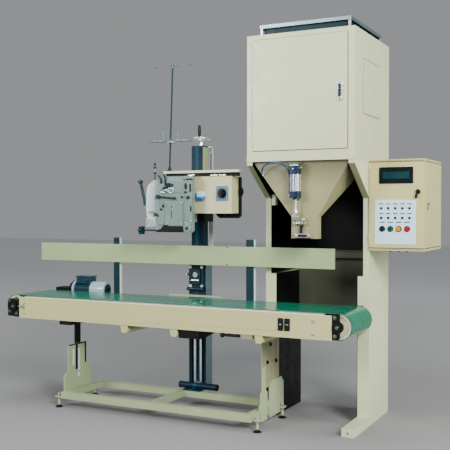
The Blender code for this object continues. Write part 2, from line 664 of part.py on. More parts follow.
def build_guide_board():
    """A folded board, open at the back, on two posts that stand on the conveyor's back rail."""
    plank = box((-1.602, 0.988), (-0.0525, -0.0325), (1.093, 1.238))
    hollow = box((-1.597, 0.983), (-0.0475, -0.02), (1.098, 1.233))
    posts = []
    for x in ((-0.883, -0.826), (0.296, 0.359)):
        posts.append(box(x, (-0.0325, -0.0025), (RAIL_Z[1] + GAP, 1.290)))
        posts.append(box(grow(x, 0.01), (-0.0485, -0.0325 + 0.003), (1.110, 1.220)))
    board = node("board_shell", CREAM, [plank], [hollow])
    node("guide_board", CREAM, [board, *posts])


# ---------------------------------------------------------------- sewing station

def build_column():
    """A wide lower column with a recess for two guide rods, and a slim mast on top of it."""
    low_x, low_y = (-0.2370, -0.0925), (0.055, 0.164)
    foot = BASE_Z[1] + GAP
    solids = [
        box(low_x, low_y, (foot, 1.160)),
        box(MAST_X, MAST_Y, (1.150, MAST_TOP)),
        box(low_x, (RAIL_BACK - TUBE, low_y[1]), (foot, foot + 0.012)),
        rod("X", (0.040, 0.149), 0.025, (-0.300, 0.010), 24),
    ]
    cuts = [
        box(grow(low_x, -0.010), (0.090, 0.154), (0.0, 1.150)),
        box(grow(MAST_X, -0.008), grow(MAST_Y, -0.008), (1.140, 1.995)),
        box((-0.2105, -0.1075), (0.040, 0.080), (0.168, 0.640)),
        rod("Z", SCREW, 0.0108, (1.9, 2.1), 24),
    ]
    node("column", TEAL, solids, cuts)
    rods = [rod("Z", (x, 0.066), 0.012, (0.1684, 0.6396), 20) for x in (-0.189, -0.137)]
    rods.append(box((-0.189, -0.137), (0.062, 0.070), (0.1684, 0.180)))
    node("guide_rods", CHROME, rods)


def build_lift_screw():
    """The lift screw with a three-spoke handwheel and its turning grip."""
    profile = [
        (1.180, 0.010),
        (MAST_TOP + 0.003, 0.010),
        (MAST_TOP + 0.003, 0.020),
        (2.040, 0.020),
        (2.046, 0.016),
        (2.080, 0.016),
    ]
    hole = rod("Z", SCREW, WHEEL_R - 0.007, (2.05, 2.08), 32)
    rim = node("rim", CHROME, [rod("Z", SCREW, WHEEL_R + 0.007, (2.058, 2.070), 32)], [hole])
    solids = [turned("Z", SCREW, profile), rim]
    for angle in (80, 200, 320):
        end = (SCREW[0] + 0.084 * cos(radians(angle)), SCREW[1] + 0.084 * sin(radians(angle)), WHEEL_Z)
        solids.append(bar((*SCREW, WHEEL_Z), end, 0.005))
    angle = radians(-72)
    grip_at = (SCREW[0] + WHEEL_R * cos(angle), SCREW[1] + WHEEL_R * sin(angle))
    grip = [(2.060, 0.006), (2.080, 0.006), (2.080, 0.010), (2.155, 0.012), (2.161, 0.009)]
    solids.append(turned("Z", grip_at, grip, 20))
    node("lift_handwheel", CHROME, solids, origin=(*SCREW, MAST_TOP + 0.003))


def build_carriage():
    """A sleeve on the mast with the arms under the table, and the table itself."""
    sleeve_x = grow(MAST_X, 0.028)
    solids = [
        box(sleeve_x, (0.028, 0.174), (1.420, 1.757)),
        box((-0.285, 0.305), (-0.205, -0.155), (1.757, TABLE_Z[0] - GAP)),
        box((-0.285, 0.170), (-0.157, 0.034), (1.757, TABLE_Z[0] - GAP)),
        box(sleeve_x, (-0.10, 0.174), (1.740, TABLE_Z[0] - GAP)),
        box((-0.230, -0.080), (-0.1135, 0.030), (1.640, 1.760)),
    ]
    bore = box(grow(MAST_X, 0.0012), grow(MAST_Y, 0.0012), (1.3, 1.9))
    node("carriage", BLACK, solids, [bore])

    strip = box(TABLE_X, (-0.235, -0.150), TABLE_Z)
    middle = box((TABLE_X[0], 0.180), (-0.152, 0.056), TABLE_Z)
    node("table_plate", CREAM, [strip, middle])


def build_thread_stand():
    """A leaning pole with two spool plates and two thread guides at its tip."""
    foot = Vector((-0.272, -0.180, TABLE_Z[1] + GAP))
    tip = Vector((-0.244, -0.180, 2.600))
    lean = (tip - foot) / (tip.z - foot.z)
    plate_at = foot + lean * (2.025 - foot.z)
    socket = [(foot.z, 0.022), (foot.z + 0.010, 0.022), (foot.z + 0.014, 0.012), (foot.z + 0.03, 0.012)]
    solids = [
        turned("Z", (foot.x, foot.y), socket, 20),
        bar(foot + Vector((0, 0, 0.004)), tip, 0.0065, 12),
        box((plate_at.x - 0.100, plate_at.x + 0.100), (-0.190, -0.170), (2.021, 2.027)),
        rod("Z", (plate_at.x, -0.180), 0.013, (2.012, 2.040), 20),
    ]
    for side in (-1, 1):
        solids.append(rod("Z", (plate_at.x + side * 0.104, -0.180), 0.078, (2.0245, 2.0285), 32))
        pin_at = (plate_at.x + side * 0.065, -0.180)
        solids.append(turned("Z", pin_at, [(2.026, 0.008), (2.050, 0.005), (2.140, 0.003)], 12))
        eye = tip + Vector((side * 0.155, 0, -0.012))
        solids.append(bar(tip + Vector((0, 0, -0.012)), eye, 0.0025, 8))
        solids.append(turned("Y", (eye.x, eye.z), [(-0.184, 0.006), (-0.176, 0.006)], 12))
    node("thread_stand", STEEL, solids)


def build_sewing_box():
    """A folded switch box with the switch's backing plate and the circuit breaker on its face."""
    front = BOX_Y[0]
    shell = box(BOX_X, BOX_Y, BOX_Z)
    plate = prism("Y", rounded((0.141, 0.239), (1.576, 1.684), 0.006), (front - 0.004, front + 0.001))
    breaker = prism("Y", rounded((-0.0105, 0.049), (1.582, 1.646), 0.003), (front - 0.028, front + 0.001))
    hollow = box(grow(BOX_X, -0.003), (front + 0.003, BOX_Y[1] + 0.02), grow(BOX_Z, -0.003))
    node("sewing_box", CREAM, [shell, plate, breaker], [hollow])

    base = front - 0.004 - GAP
    dial = turned("Y", (0.190, 1.630), [(base - 0.026, 0.018), (base - 0.018, 0.022), (base, 0.022)])
    blade = box((0.181, 0.199), (base - 0.034, base - 0.016), (1.598, 1.662))
    node("rotary_knob", BLACK, [dial, blade], origin=(0.190, base, 1.630))


def build_sewing_motor():
    """The motor on its plate behind the switch box, and the two belt pulleys."""
    plate = [
        (0.110, 1.450),
        (0.260, 1.450),
        (0.2795, 1.466),
        (0.2795, 1.752),
        (0.090, 1.752),
        (0.090, 1.466),
    ]
    end_cap = [(0.2790, 0.036), (0.2830, 0.036), (0.3000, 0.006)]
    solids = [
        turned("X", MOTOR_SHAFT, [(0.050, 0.048), (0.060, 0.062), (0.190, 0.062), (0.200, 0.052)]),
        prism("Y", plate, (BOX_Y[1] + GAP, -0.070)),
        box((0.100, 0.195), (-0.050, 0.012), (1.560, 1.7565)),
        turned("X", (-0.0856, 1.645), end_cap, 24),
    ]
    cuts = [rod("X", MOTOR_SHAFT, 0.0094, (0.02, 0.14), 24)]
    node("sewing_motor", BLACK, solids, cuts)
    for name, centre, radius, shaft_x in (
        ("motor_pulley", MOTOR_SHAFT, 0.034, (PULLEY_X[0] - 0.004, 0.120)),
        ("head_pulley", HEAD_SHAFT, 0.060, (-0.120, PULLEY_X[1])),
    ):
        groove = [
            (PULLEY_X[0], radius),
            (PULLEY_X[0] + 0.003, radius),
            (PULLEY_X[0] + 0.0075, radius - 0.008),
            (PULLEY_X[1] - 0.003, radius),
            (PULLEY_X[1], radius),
        ]
        shaft = rod("X", centre, 0.0085, shaft_x, 24)
        node(name, STEEL, [turned("X", centre, groove, 32), shaft], origin=(PULLEY_X[0], *centre))


def build_head():
    """The sewing head: a hollow casting with its bag slot, and the small pieces that move on it."""
    front, back = HEAD_Y
    main = [
        (-0.300, 1.345),
        (-0.045, 1.345),
        (-0.032, 1.360),
        (-0.032, 1.7565),
        (-0.270, 1.7565),
        (-0.312, 1.720),
        (-0.312, 1.380),
    ]
    front_end = [
        (-0.080, 1.346),
        (-0.012, 1.346),
        (0.003, 1.360),
        (0.003, 1.740),
        (-0.014, 1.7555),
        (-0.080, 1.7555),
    ]
    nose = [
        (-0.305, 1.430),
        (-0.380, 1.445),
        (-0.402, 1.480),
        (-0.404, 1.640),
        (-0.392, 1.690),
        (-0.365, 1.718),
        (-0.305, 1.735),
    ]
    thread_post = [
        (1.730, 0.005),
        (1.790, 0.005),
        (1.790, 0.014),
        (1.797, 0.014),
        (1.797, 0.005),
        (1.850, 0.005),
        (1.852, 0.009),
        (1.864, 0.006),
    ]
    solids = [
        prism("Y", main, HEAD_Y),
        prism("Y", front_end, (front, front + 0.026)),
        prism("Y", nose, (front + 0.008, back + 0.010)),
        box((-0.302, -0.072), (back - 0.01, -0.115), (1.420, 1.740)),
        box((-0.400, -0.305), (-0.308, -0.266), (1.382, 1.450)),
        box((-0.392, -0.290), (-0.220, -0.165), (1.388, 1.460)),
        rod("Z", (-0.352, -0.260), 0.013, (1.700, 1.738), 20),
        turned("Z", (-0.352, -0.260), thread_post, 20),
        prism("Y", rounded((-0.325, -0.080), (1.352, 1.390), 0.012), (front - 0.010, front + 0.004)),
    ]
    cuts = [
        box((-0.45, 0.05), BAG_SLOT_Y, (1.30, 1.405)),
        box((-0.062, 0.05), (-0.2435, -0.20), (1.30, 1.80)),
        box((-0.286, -0.086), (-0.294, -0.10), (1.432, 1.726)),
        box((-0.070, -0.012), (-0.296, -0.20), (1.432, 1.726)),
        rod("Y", NEEDLE, 0.0066, (-0.26, -0.15), 20),
        rod("Y", NEEDLE, 0.0040, (-0.300, -0.25), 12),
        rod("Y", PRESSER, 0.0066, (-0.26, -0.15), 20),
        rod("X", HEAD_SHAFT, 0.0094, (-0.15, -0.05), 24),
    ]
    node("head_casting", CASTING, solids, cuts)

    face = front - GAP
    cover = prism("Y", rounded((-0.233, -0.080), (1.394, 1.575), 0.012), (face - 0.008, face))
    node("looper_cover", CASTING, [cover], origin=(-0.080, face - 0.008, 1.394))

    profile = [(-0.2445, 0.0012), (-0.226, 0.0016), (-0.226, 0.006), (-0.130, 0.006)]
    needle = turned("Y", NEEDLE, profile, 20)
    node("needle_bar", CHROME, [needle], origin=(NEEDLE[0], -0.226, NEEDLE[1]))

    shoe = box((-0.388, -0.328), (-0.2655, -0.2615), (1.376, 1.428))
    stem = rod("Y", PRESSER, 0.006, (-0.2625, -0.130), 20)
    eye = rod("Y", NEEDLE, 0.009, (-0.28, -0.25), 20)
    node("presser_foot", CHROME, [shoe, stem], [eye], origin=(PRESSER[0], -0.2655, PRESSER[1]))

    hub = (-0.4180, 1.556)
    ball = [(-0.303, 0.010), (-0.301, 0.014), (-0.277, 0.014), (-0.275, 0.010)]
    lever = [
        rod("Y", hub, 0.0125, (-0.300, -0.278), 20),
        bar((-0.4185, -0.289, 1.560), (-0.459, -0.289, 1.712), 0.007),
        turned("Y", (-0.461, 1.722), ball, 20),
    ]
    node("presser_lever", TEAL, lever, origin=(hub[0], -0.289, hub[1]))

    knob_at = (-0.288, 1.358)
    knob = [
        rod("X", knob_at, 0.022, (-0.470, -0.436), 24),
        rod("X", knob_at, 0.006, (-0.437, -0.3070), 16),
    ]
    for step in range(6):
        angle = step * pi / 3
        lobe = (knob_at[0] + 0.025 * cos(angle), knob_at[1] + 0.025 * sin(angle))
        knob.append(rod("X", lobe, 0.009, (-0.468, -0.438), 12))
    node("feed_knob", TEAL, knob, origin=(-0.3070, *knob_at))

    takeup = [
        rod("Y", (-0.290, 1.608), 0.016, (face - 0.016, face), 20),
        bar((-0.290, face - 0.010, 1.608), (-0.150, face - 0.010, 1.595), 0.007),
        rod("Y", (-0.150, 1.595), 0.011, (face - 0.018, face - 0.003), 20),
    ]
    node("thread_takeup", TEAL, takeup, origin=(-0.290, face, 1.608))


clear_scene()
build_cabinet()
build_stand("left")
build_stand("right")
build_back_panel()
build_hopper()
build_weigh_bucket()
build_bag_clamp()
build_air_hose()
build_control_cabinet()
build_rail("rail_front", RAIL_FRONT, 1)
build_rail("rail_back", RAIL_BACK, -1)
build_bearings()
build_rollers()
build_belt()
build_drive_motor()
build_base_frame()
build_uprights()
build_guide_board()
build_column()
build_lift_screw()
build_carriage()
build_thread_stand()
build_sewing_box()
build_sewing_motor()
build_head()
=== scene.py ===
import json
from math import atan2, cos, hypot, pi, radians, sin

import bmesh
import bpy
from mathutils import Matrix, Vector


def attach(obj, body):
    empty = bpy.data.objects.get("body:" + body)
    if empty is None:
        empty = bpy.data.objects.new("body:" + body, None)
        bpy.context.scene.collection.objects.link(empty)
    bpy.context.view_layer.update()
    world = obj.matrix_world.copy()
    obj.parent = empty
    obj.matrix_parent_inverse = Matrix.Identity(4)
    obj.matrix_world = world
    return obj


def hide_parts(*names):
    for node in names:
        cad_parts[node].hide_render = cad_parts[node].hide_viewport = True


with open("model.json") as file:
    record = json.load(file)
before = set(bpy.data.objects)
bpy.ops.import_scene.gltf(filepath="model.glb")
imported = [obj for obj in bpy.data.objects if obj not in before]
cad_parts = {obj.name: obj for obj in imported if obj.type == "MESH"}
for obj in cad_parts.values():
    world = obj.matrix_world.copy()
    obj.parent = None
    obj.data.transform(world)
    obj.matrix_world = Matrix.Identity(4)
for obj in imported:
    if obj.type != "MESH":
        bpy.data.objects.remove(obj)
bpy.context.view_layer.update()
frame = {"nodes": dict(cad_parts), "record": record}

NODES = frame["nodes"]

# Places that several pieces share, in metres
CLAMP_PIVOT = (-0.3045, 1.42)
TAIL_X, DRIVE_X, DRUM_Z = 1.17, -1.5, 0.755
RAIL_FRONT, RAIL_BACK = -0.5115, 0.012
RAIL_UNDER_Z = 0.6665
BUTTON_X, BUTTON_Z = (1.314, 1.371, 1.428, 1.486), 1.38
MOTOR_AXIS = (0.085, 0.85)
FINIAL_X, FINIAL_Y = -0.352, -0.26


# ---------------------------------------------------------------- materials

class Look:
    """A node material with helpers for noise, mixing and bump in object space."""

    def __init__(self, name):
        self.material = bpy.data.materials.new(name)
        self.material.use_nodes = True
        self.tree = self.material.node_tree
        self.shader = self.tree.nodes["Principled BSDF"]
        self.coords = self.tree.nodes.new("ShaderNodeTexCoord").outputs["Object"]

    def node(self, kind, **values):
        made = self.tree.nodes.new(kind)
        for key, value in values.items():
            setattr(made, key, value)
        return made

    def link(self, source, target):
        self.tree.links.new(source, target)

    def mapped(self, scale=(1, 1, 1)):
        mapping = self.node("ShaderNodeMapping")
        mapping.inputs["Scale"].default_value = scale
        self.link(self.coords, mapping.inputs["Vector"])
        return mapping.outputs["Vector"]

    def noise(self, scale, detail=3.0, stretch=(1, 1, 1), rough=0.5):
        noise = self.node("ShaderNodeTexNoise")
        noise.inputs["Scale"].default_value = scale
        noise.inputs["Detail"].default_value = detail
        noise.inputs["Roughness"].default_value = rough
        self.link(self.mapped(stretch), noise.inputs["Vector"])
        return noise.outputs["Fac"]

    def remap(self, value, low, high, start=0.3, end=0.7):
        mapper = self.node("ShaderNodeMapRange")
        for key, number in (("From Min", start), ("From Max", end), ("To Min", low), ("To Max", high)):
            mapper.inputs[key].default_value = number
        self.link(value, mapper.inputs["Value"])
        return mapper.outputs["Result"]

    def mix(self, factor, first, second):
        mixer = self.node("ShaderNodeMix", data_type="RGBA")
        for socket, value in (
            (mixer.inputs["Factor"], factor), (mixer.inputs["A"], first), (mixer.inputs["B"], second),
        ):
            if isinstance(value, bpy.types.NodeSocket):
                self.link(value, socket)
            else:
                socket.default_value = (*value, 1.0)
        return mixer.outputs["Result"]

    def maths(self, operation, first, second=None):
        """The result of a Math node; second is a socket, a number or nothing."""
        step = self.node("ShaderNodeMath", operation=operation)
        self.link(first, step.inputs[0])
        if isinstance(second, bpy.types.NodeSocket):
            self.link(second, step.inputs[1])
        elif second is not None:
            step.inputs[1].default_value = second
        return step.outputs[0]

    def split(self):
        """The X, Y and Z of the object's own coordinates."""
        parts = self.node("ShaderNodeSeparateXYZ")
        self.link(self.coords, parts.inputs["Vector"])
        return parts.outputs

    def drift(self, scale=1.7, detail=4.0):
        return self.remap(self.noise(scale, detail), 0.0, 1.0)

    def satin(self, low, high):
        self.roughness(self.remap(self.noise(14.0, 5.0), low, high))

    def orange_peel(self, strength):
        self.bump(self.noise(420.0, 2.0), strength, 0.0006)

    def bump(self, height, strength, distance):
        bump = self.node("ShaderNodeBump")
        bump.inputs["Strength"].default_value = strength
        bump.inputs["Distance"].default_value = distance
        self.link(height, bump.inputs["Height"])
        self.link(bump.outputs["Normal"], self.shader.inputs["Normal"])

    def colour(self, value):
        self.link(value, self.shader.inputs["Base Color"])

    def roughness(self, value):
        self.link(value, self.shader.inputs["Roughness"])

    def set(self, **values):
        for key, value in values.items():
            self.shader.inputs[key.replace("_", " ")].default_value = value


INK = (0.002, 0.003, 0.003)
OLIVE = (0.36, 0.43, 0.26)
CREAM_GREEN = (0.64, 0.69, 0.43)
# Where the mast's olive patch starts
PATCH_LOW_Z, PATCH_LEFT_X = 1.79, -0.1165
# Ends of a colour zone that runs past the part
FAR_LOW, FAR_HIGH = -1.0, 3.0
# The painted shade zones of the stands keep off their back faces
STAND_DEPTH = (FAR_LOW, 0.507)


def shade(colour, factor):
    return tuple(min(1.0, channel * factor) for channel in colour)


def enamel(name, colour, rough=0.38, mottle=0.06, peel=0.12, coat=0.25, grime=0.1, shine=0.5):
    """Sprayed machine paint: slow colour drift, faint dust, and orange peel in the bump."""
    look = Look(name)
    drift = look.drift()
    base = look.mix(drift, shade(colour, 1 - mottle), shade(colour, 1 + mottle * 0.6))
    stains = look.remap(look.noise(7.0, 8.0, (1, 1, 0.35), 0.65), 0.0, grime, 0.52, 0.75)
    base = look.mix(stains, base, shade(colour, 0.55))
    look.colour(base)
    look.satin(rough - 0.07, rough + 0.09)
    look.orange_peel(peel)
    look.set(Coat_Weight=coat, Coat_Roughness=0.22, Specular_IOR_Level=shine)
    return look.material


def painted_light_ramp(name, near, far, axis, start, stop, rough=0.4, mottle=0.12, coat=0.1, shine=0.4):
    """Paint that changes slowly from one colour to another along an axis, a ramp of painted light and shade.
    """
    look = Look(name)
    split = look.split()
    reach = look.remap(split[axis], 0.0, 1.0, start, stop)
    drift = look.drift(2.5, 5.0)
    first = look.mix(drift, shade(near, 1 - mottle), shade(near, 1 + mottle))
    second = look.mix(drift, shade(far, 1 - mottle), shade(far, 1 + mottle))
    look.colour(look.mix(reach, first, second))
    look.satin(rough - 0.07, rough + 0.09)
    look.bump(look.noise(90.0, 3.0), 0.25, 0.0006)
    look.set(Coat_Weight=coat, Coat_Roughness=0.16, Specular_IOR_Level=shine)
    return look.material


def brushed(name, colour, rough=0.32, stretch=(1, 1, 1)):
    """Bare or plated metal with fine drawn lines and a little haze."""
    look = Look(name)
    lines = look.noise(160.0, 6.0, stretch, 0.7)
    look.colour(look.mix(look.drift(9.0, 4.0), shade(colour, 0.86), shade(colour, 1.06)))
    look.roughness(look.remap(lines, rough - 0.08, rough + 0.14))
    look.bump(lines, 0.05, 0.0004)
    look.set(Metallic=1.0)
    return look.material


def plastic(name, colour, rough=0.35, grain=0.08, coat=0.0, mottle=0.05, shine=0.5):
    """Moulded plastic with a fine grain."""
    look = Look(name)
    look.colour(look.mix(look.drift(22.0, 3.0), shade(colour, 1 - mottle), shade(colour, 1 + mottle)))
    look.roughness(look.remap(look.noise(60.0, 3.0), rough - 0.05, rough + 0.08))
    look.bump(look.noise(900.0, 2.0), grain, 0.0004)
    look.set(Coat_Weight=coat, Coat_Roughness=0.1, Specular_IOR_Level=shine)
    return look.material


def belting(name, colour):
    """Smooth PVC belt: glossy, with faint long rub marks and a fine fabric texture below."""
    look = Look(name)
    rub = look.remap(look.noise(6.0, 6.0, (0.35, 3.0, 3.0), 0.6), 0.0, 1.0)
    base = look.mix(rub, shade(colour, 0.72), shade(colour, 1.25))
    look.colour(base)
    look.roughness(look.remap(look.noise(9.0, 5.0, (0.4, 2.5, 2.5)), 0.16, 0.34))
    weave = look.node("ShaderNodeTexWave", wave_type="BANDS", bands_direction="Y")
    weave.inputs["Scale"].default_value = 160.0
    weave.inputs["Distortion"].default_value = 1.0
    look.link(look.mapped(), weave.inputs["Vector"])
    look.bump(weave.outputs["Fac"], 0.05, 0.0004)
    look.set(Coat_Weight=0.22, Coat_Roughness=0.12, Specular_IOR_Level=0.35)
    return look.material


def painted_shade_zones(name, colour, zones, shine=0.4):
    """Paint whose colour changes inside boxes to painted shade: each zone is (colour, x span, y span, z
    span).
    """
    look = Look(name)
    split = look.split()
    drift = look.drift()
    base = look.mix(drift, shade(colour, 0.94), shade(colour, 1.04))
    for zone_colour, *spans in zones:
        inside = None
        for axis, span in zip("XYZ", spans):
            for edge, operation in zip(span, ("GREATER_THAN", "LESS_THAN")):
                test = look.maths(operation, split[axis], edge)
                inside = test if inside is None else look.maths("MULTIPLY", inside, test)
        shaded = look.mix(drift, shade(zone_colour, 0.85), shade(zone_colour, 1.15))
        base = look.mix(inside, base, shaded)
    look.colour(base)
    look.satin(0.34, 0.5)
    look.orange_peel(0.12)
    look.set(Specular_IOR_Level=shine)
    return look.material


def highlight_banded(name, colour, light, centre, width):
    """Dark gloss paint with a soft, paler band up the front as a painted highlight, and an olive patch at the
    top right.
    """
    look = Look(name)
    split = look.split()
    away = look.maths("ABSOLUTE", look.maths("SUBTRACT", split["X"], centre))
    band = look.remap(away, 1.0, 0.0, width * 0.3, width)
    patchy = look.maths("MULTIPLY", band, look.remap(look.noise(5.0, 4.0, (1, 1, 0.3)), 0.35, 1.0))
    high = look.maths("GREATER_THAN", split["Z"], PATCH_LOW_Z)
    side = look.maths("GREATER_THAN", split["X"], PATCH_LEFT_X)
    look.colour(look.mix(look.maths("MULTIPLY", high, side), look.mix(patchy, colour, light), OLIVE))
    look.satin(0.36, 0.52)
    look.orange_peel(0.1)
    look.set(Specular_IOR_Level=0.2)
    return look.material



def build_looks():
    return {
        "cabinet_paint": enamel("cabinet_enamel", CREAM_GREEN),
        "rail_paint": enamel("rail_enamel", (0.575, 0.548, 0.255), 0.34, 0.05),
        "board_paint": enamel("board_enamel", (0.37, 0.47, 0.24), 0.36, 0.08),
        "frame_paint": enamel("frame_enamel", (0.39, 0.46, 0.26), 0.42, 0.1, 0.2, 0.15, 0.35),
        # Hopper paint darkens towards the top: painted shadow of the cabinet above it
        "hopper_paint": painted_light_ramp("hopper_shaded_enamel", (0.29, 0.285, 0.14), (0.1, 0.1, 0.05), "Z", 1.66, 1.85),
        "black_paint": enamel("black_enamel", INK, 0.45, 0.15, 0.15, 0.0, 0.1, 0.22),
        "dark_teal_paint": enamel("teal_enamel", (0.001, 0.024, 0.04), 0.4, 0.3, 0.12, 0.0, 0.1, 0.28),
        # Casting paint is much paler at the nose end on the left: a painted highlight
        "casting_paint": painted_light_ramp("casting_highlight_enamel", (0.56, 0.7, 0.68), (0.155, 0.235, 0.205), "X",
                               -0.385, -0.29, 0.26, 0.22, 0.8, 0.5),
        "motor_paint": enamel("motor_enamel", (0.23, 0.31, 0.33), 0.34, 0.1, 0.4, 0.3),
        "steel": brushed("brushed_steel", (0.56, 0.58, 0.6)),
        "chrome": brushed("polished_chrome", (0.88, 0.91, 0.94), 0.2),
        "black_plastic": plastic("black_moulding", (0.003, 0.005, 0.006), 0.42, 0.2, 0.0, 0.05, 0.28),
        "white_film": plastic("white_membrane", (0.64, 0.88, 1.0), 0.3, 0.05, 0.2, 0.02),
        "display_glass": plastic("display_bezel", (0.001, 0.006, 0.008), 0.26, 0.02, 0.1, 0.05, 0.25),
        "green_button": plastic("green_cap", (0.0, 0.05, 0.04), 0.25, 0.03, 0.1, 0.05, 0.3),
        "orange_button": plastic("orange_cap", (0.82, 0.27, 0.0), 0.25, 0.03, 0.0, 0.05, 0.2),
        "red_button": plastic("red_cap", (0.48, 0.0, 0.006), 0.25, 0.03, 0.0, 0.05, 0.2),
        "handle_blue": plastic("blue_lever", (0.001, 0.014, 0.048), 0.3, 0.03, 0.15, 0.05, 0.35),
        "belt_green": belting("green_belting", (0.001, 0.165, 0.09)),
        "hose_blue": plastic("blue_tube", (0.003, 0.045, 0.17), 0.26, 0.02, 0.2, 0.05, 0.4),
        "blue_steel": brushed("blue_grey_steel", (0.3, 0.42, 0.5), 0.34),
        "dark_steel": brushed("dark_steel", (0.12, 0.18, 0.22), 0.34),
        "pale_steel": brushed("pale_steel", (0.55, 0.64, 0.7), 0.34),
        "silver_tube": brushed("anodised_silver", (0.72, 0.78, 0.82), 0.26, (1, 1, 0.1)),
        "brass": brushed("brass_plug", (0.62, 0.42, 0.16), 0.3),
        "cream_paint": enamel("cream_enamel", (0.585, 0.545, 0.24), 0.36, 0.05),
        # Pale cream for the rail's top edge: a painted highlight along it
        "edge_highlight": enamel("edge_highlight_enamel", (0.86, 0.84, 0.66), 0.3, 0.03),
        "lock_grey": brushed("lock_steel", (0.2, 0.22, 0.18), 0.3),
        "soft_seam": enamel("seam_enamel", (0.1, 0.11, 0.08), 0.5, 0.3, 0.1, 0.0, 0.1, 0.2),
        "pale_strip": enamel("pale_strip_enamel", (0.7, 0.8, 0.76), 0.3, 0.05),
        "drum_cream": enamel("drum_end_enamel", (0.6, 0.58, 0.4), 0.4, 0.06),
        "box_cream": enamel("switch_box_enamel", (0.6, 0.58, 0.33), 0.36, 0.05),
        "slate_plate": plastic("slate_plate", (0.08, 0.17, 0.26), 0.34, 0.05, 0.2),
        "breaker_blue": plastic("breaker_blue", (0.005, 0.09, 0.62), 0.3, 0.03, 0.3),
        "motor_navy": enamel("motor_navy_enamel", (0.004, 0.04, 0.07), 0.3, 0.2, 0.3, 0.15, 0.1, 0.4),
        "motor_silver": enamel("motor_silver_enamel", (0.33, 0.47, 0.54), 0.24, 0.1, 0.2, 0.6),
        "teal_gloss": plastic("teal_gloss", (0.002, 0.026, 0.032), 0.3, 0.05, 0.1, 0.05, 0.35),
        # Brownish dark tone for the right channel upright: painted shade from the conveyor above
        "channel_painted_shade": enamel("channel_shade_enamel", (0.3, 0.29, 0.16), 0.42, 0.15, 0.2, 0.05, 0.45),
        "shelf_green": enamel("shelf_enamel", (0.36, 0.43, 0.3), 0.36, 0.08),
        # Mast paint has a paler band up the front: a painted highlight
        "mast_blue": highlight_banded("mast_highlight_enamel", (0.001, 0.018, 0.036), (0.006, 0.09, 0.15), -0.17, 0.02),
        "back_shadow": painted_shade_zones("back_panel_enamel", (0.5, 0.54, 0.33), [
            ((0.085, 0.095, 0.065), (0.0, 2.0), (0.0, 0.4725), (FAR_LOW, 1.205)),
            ((0.001, 0.001, 0.001), (0.0, 2.0), (0.0, 0.4725), (1.205, FAR_HIGH))], 0.15),
        # Left stand: darker sloped gusset face, and black inner faces and lower front: painted shade
        "leg_left": painted_shade_zones("left_leg_shaded_enamel", CREAM_GREEN, [
            ((0.2, 0.24, 0.13), (0.434, 0.6), (-0.304, 0.03), (1.6, 1.819)),
            (INK, (0.4745, 0.6), STAND_DEPTH, (1.046, 1.842)),
            (INK, (0.5155, 0.6), STAND_DEPTH, (0.5, 1.046)),
            (INK, (0.4345, 0.6), STAND_DEPTH, (FAR_LOW, 0.662))], 0.15),
        # Right stand: darker sloped gusset face and black inner faces: painted shade
        "leg_right": painted_shade_zones("right_leg_shaded_enamel", CREAM_GREEN, [
            ((0.29, 0.28, 0.16), (1.0, 1.2165), (-0.304, 0.03), (1.592, 1.819)),
            (INK, (1.0, 1.1735), STAND_DEPTH, (1.046, 1.842)),
            (INK, (1.0, 1.1345), STAND_DEPTH, (0.06, 1.046))], 0.4),
        "lcd": plastic("lcd_panel", (0.001, 0.036, 0.045), 0.3, 0.02, 0.1, 0.05, 0.3),
    }


LOOKS = build_looks()


# ---------------------------------------------------------------- shape kit

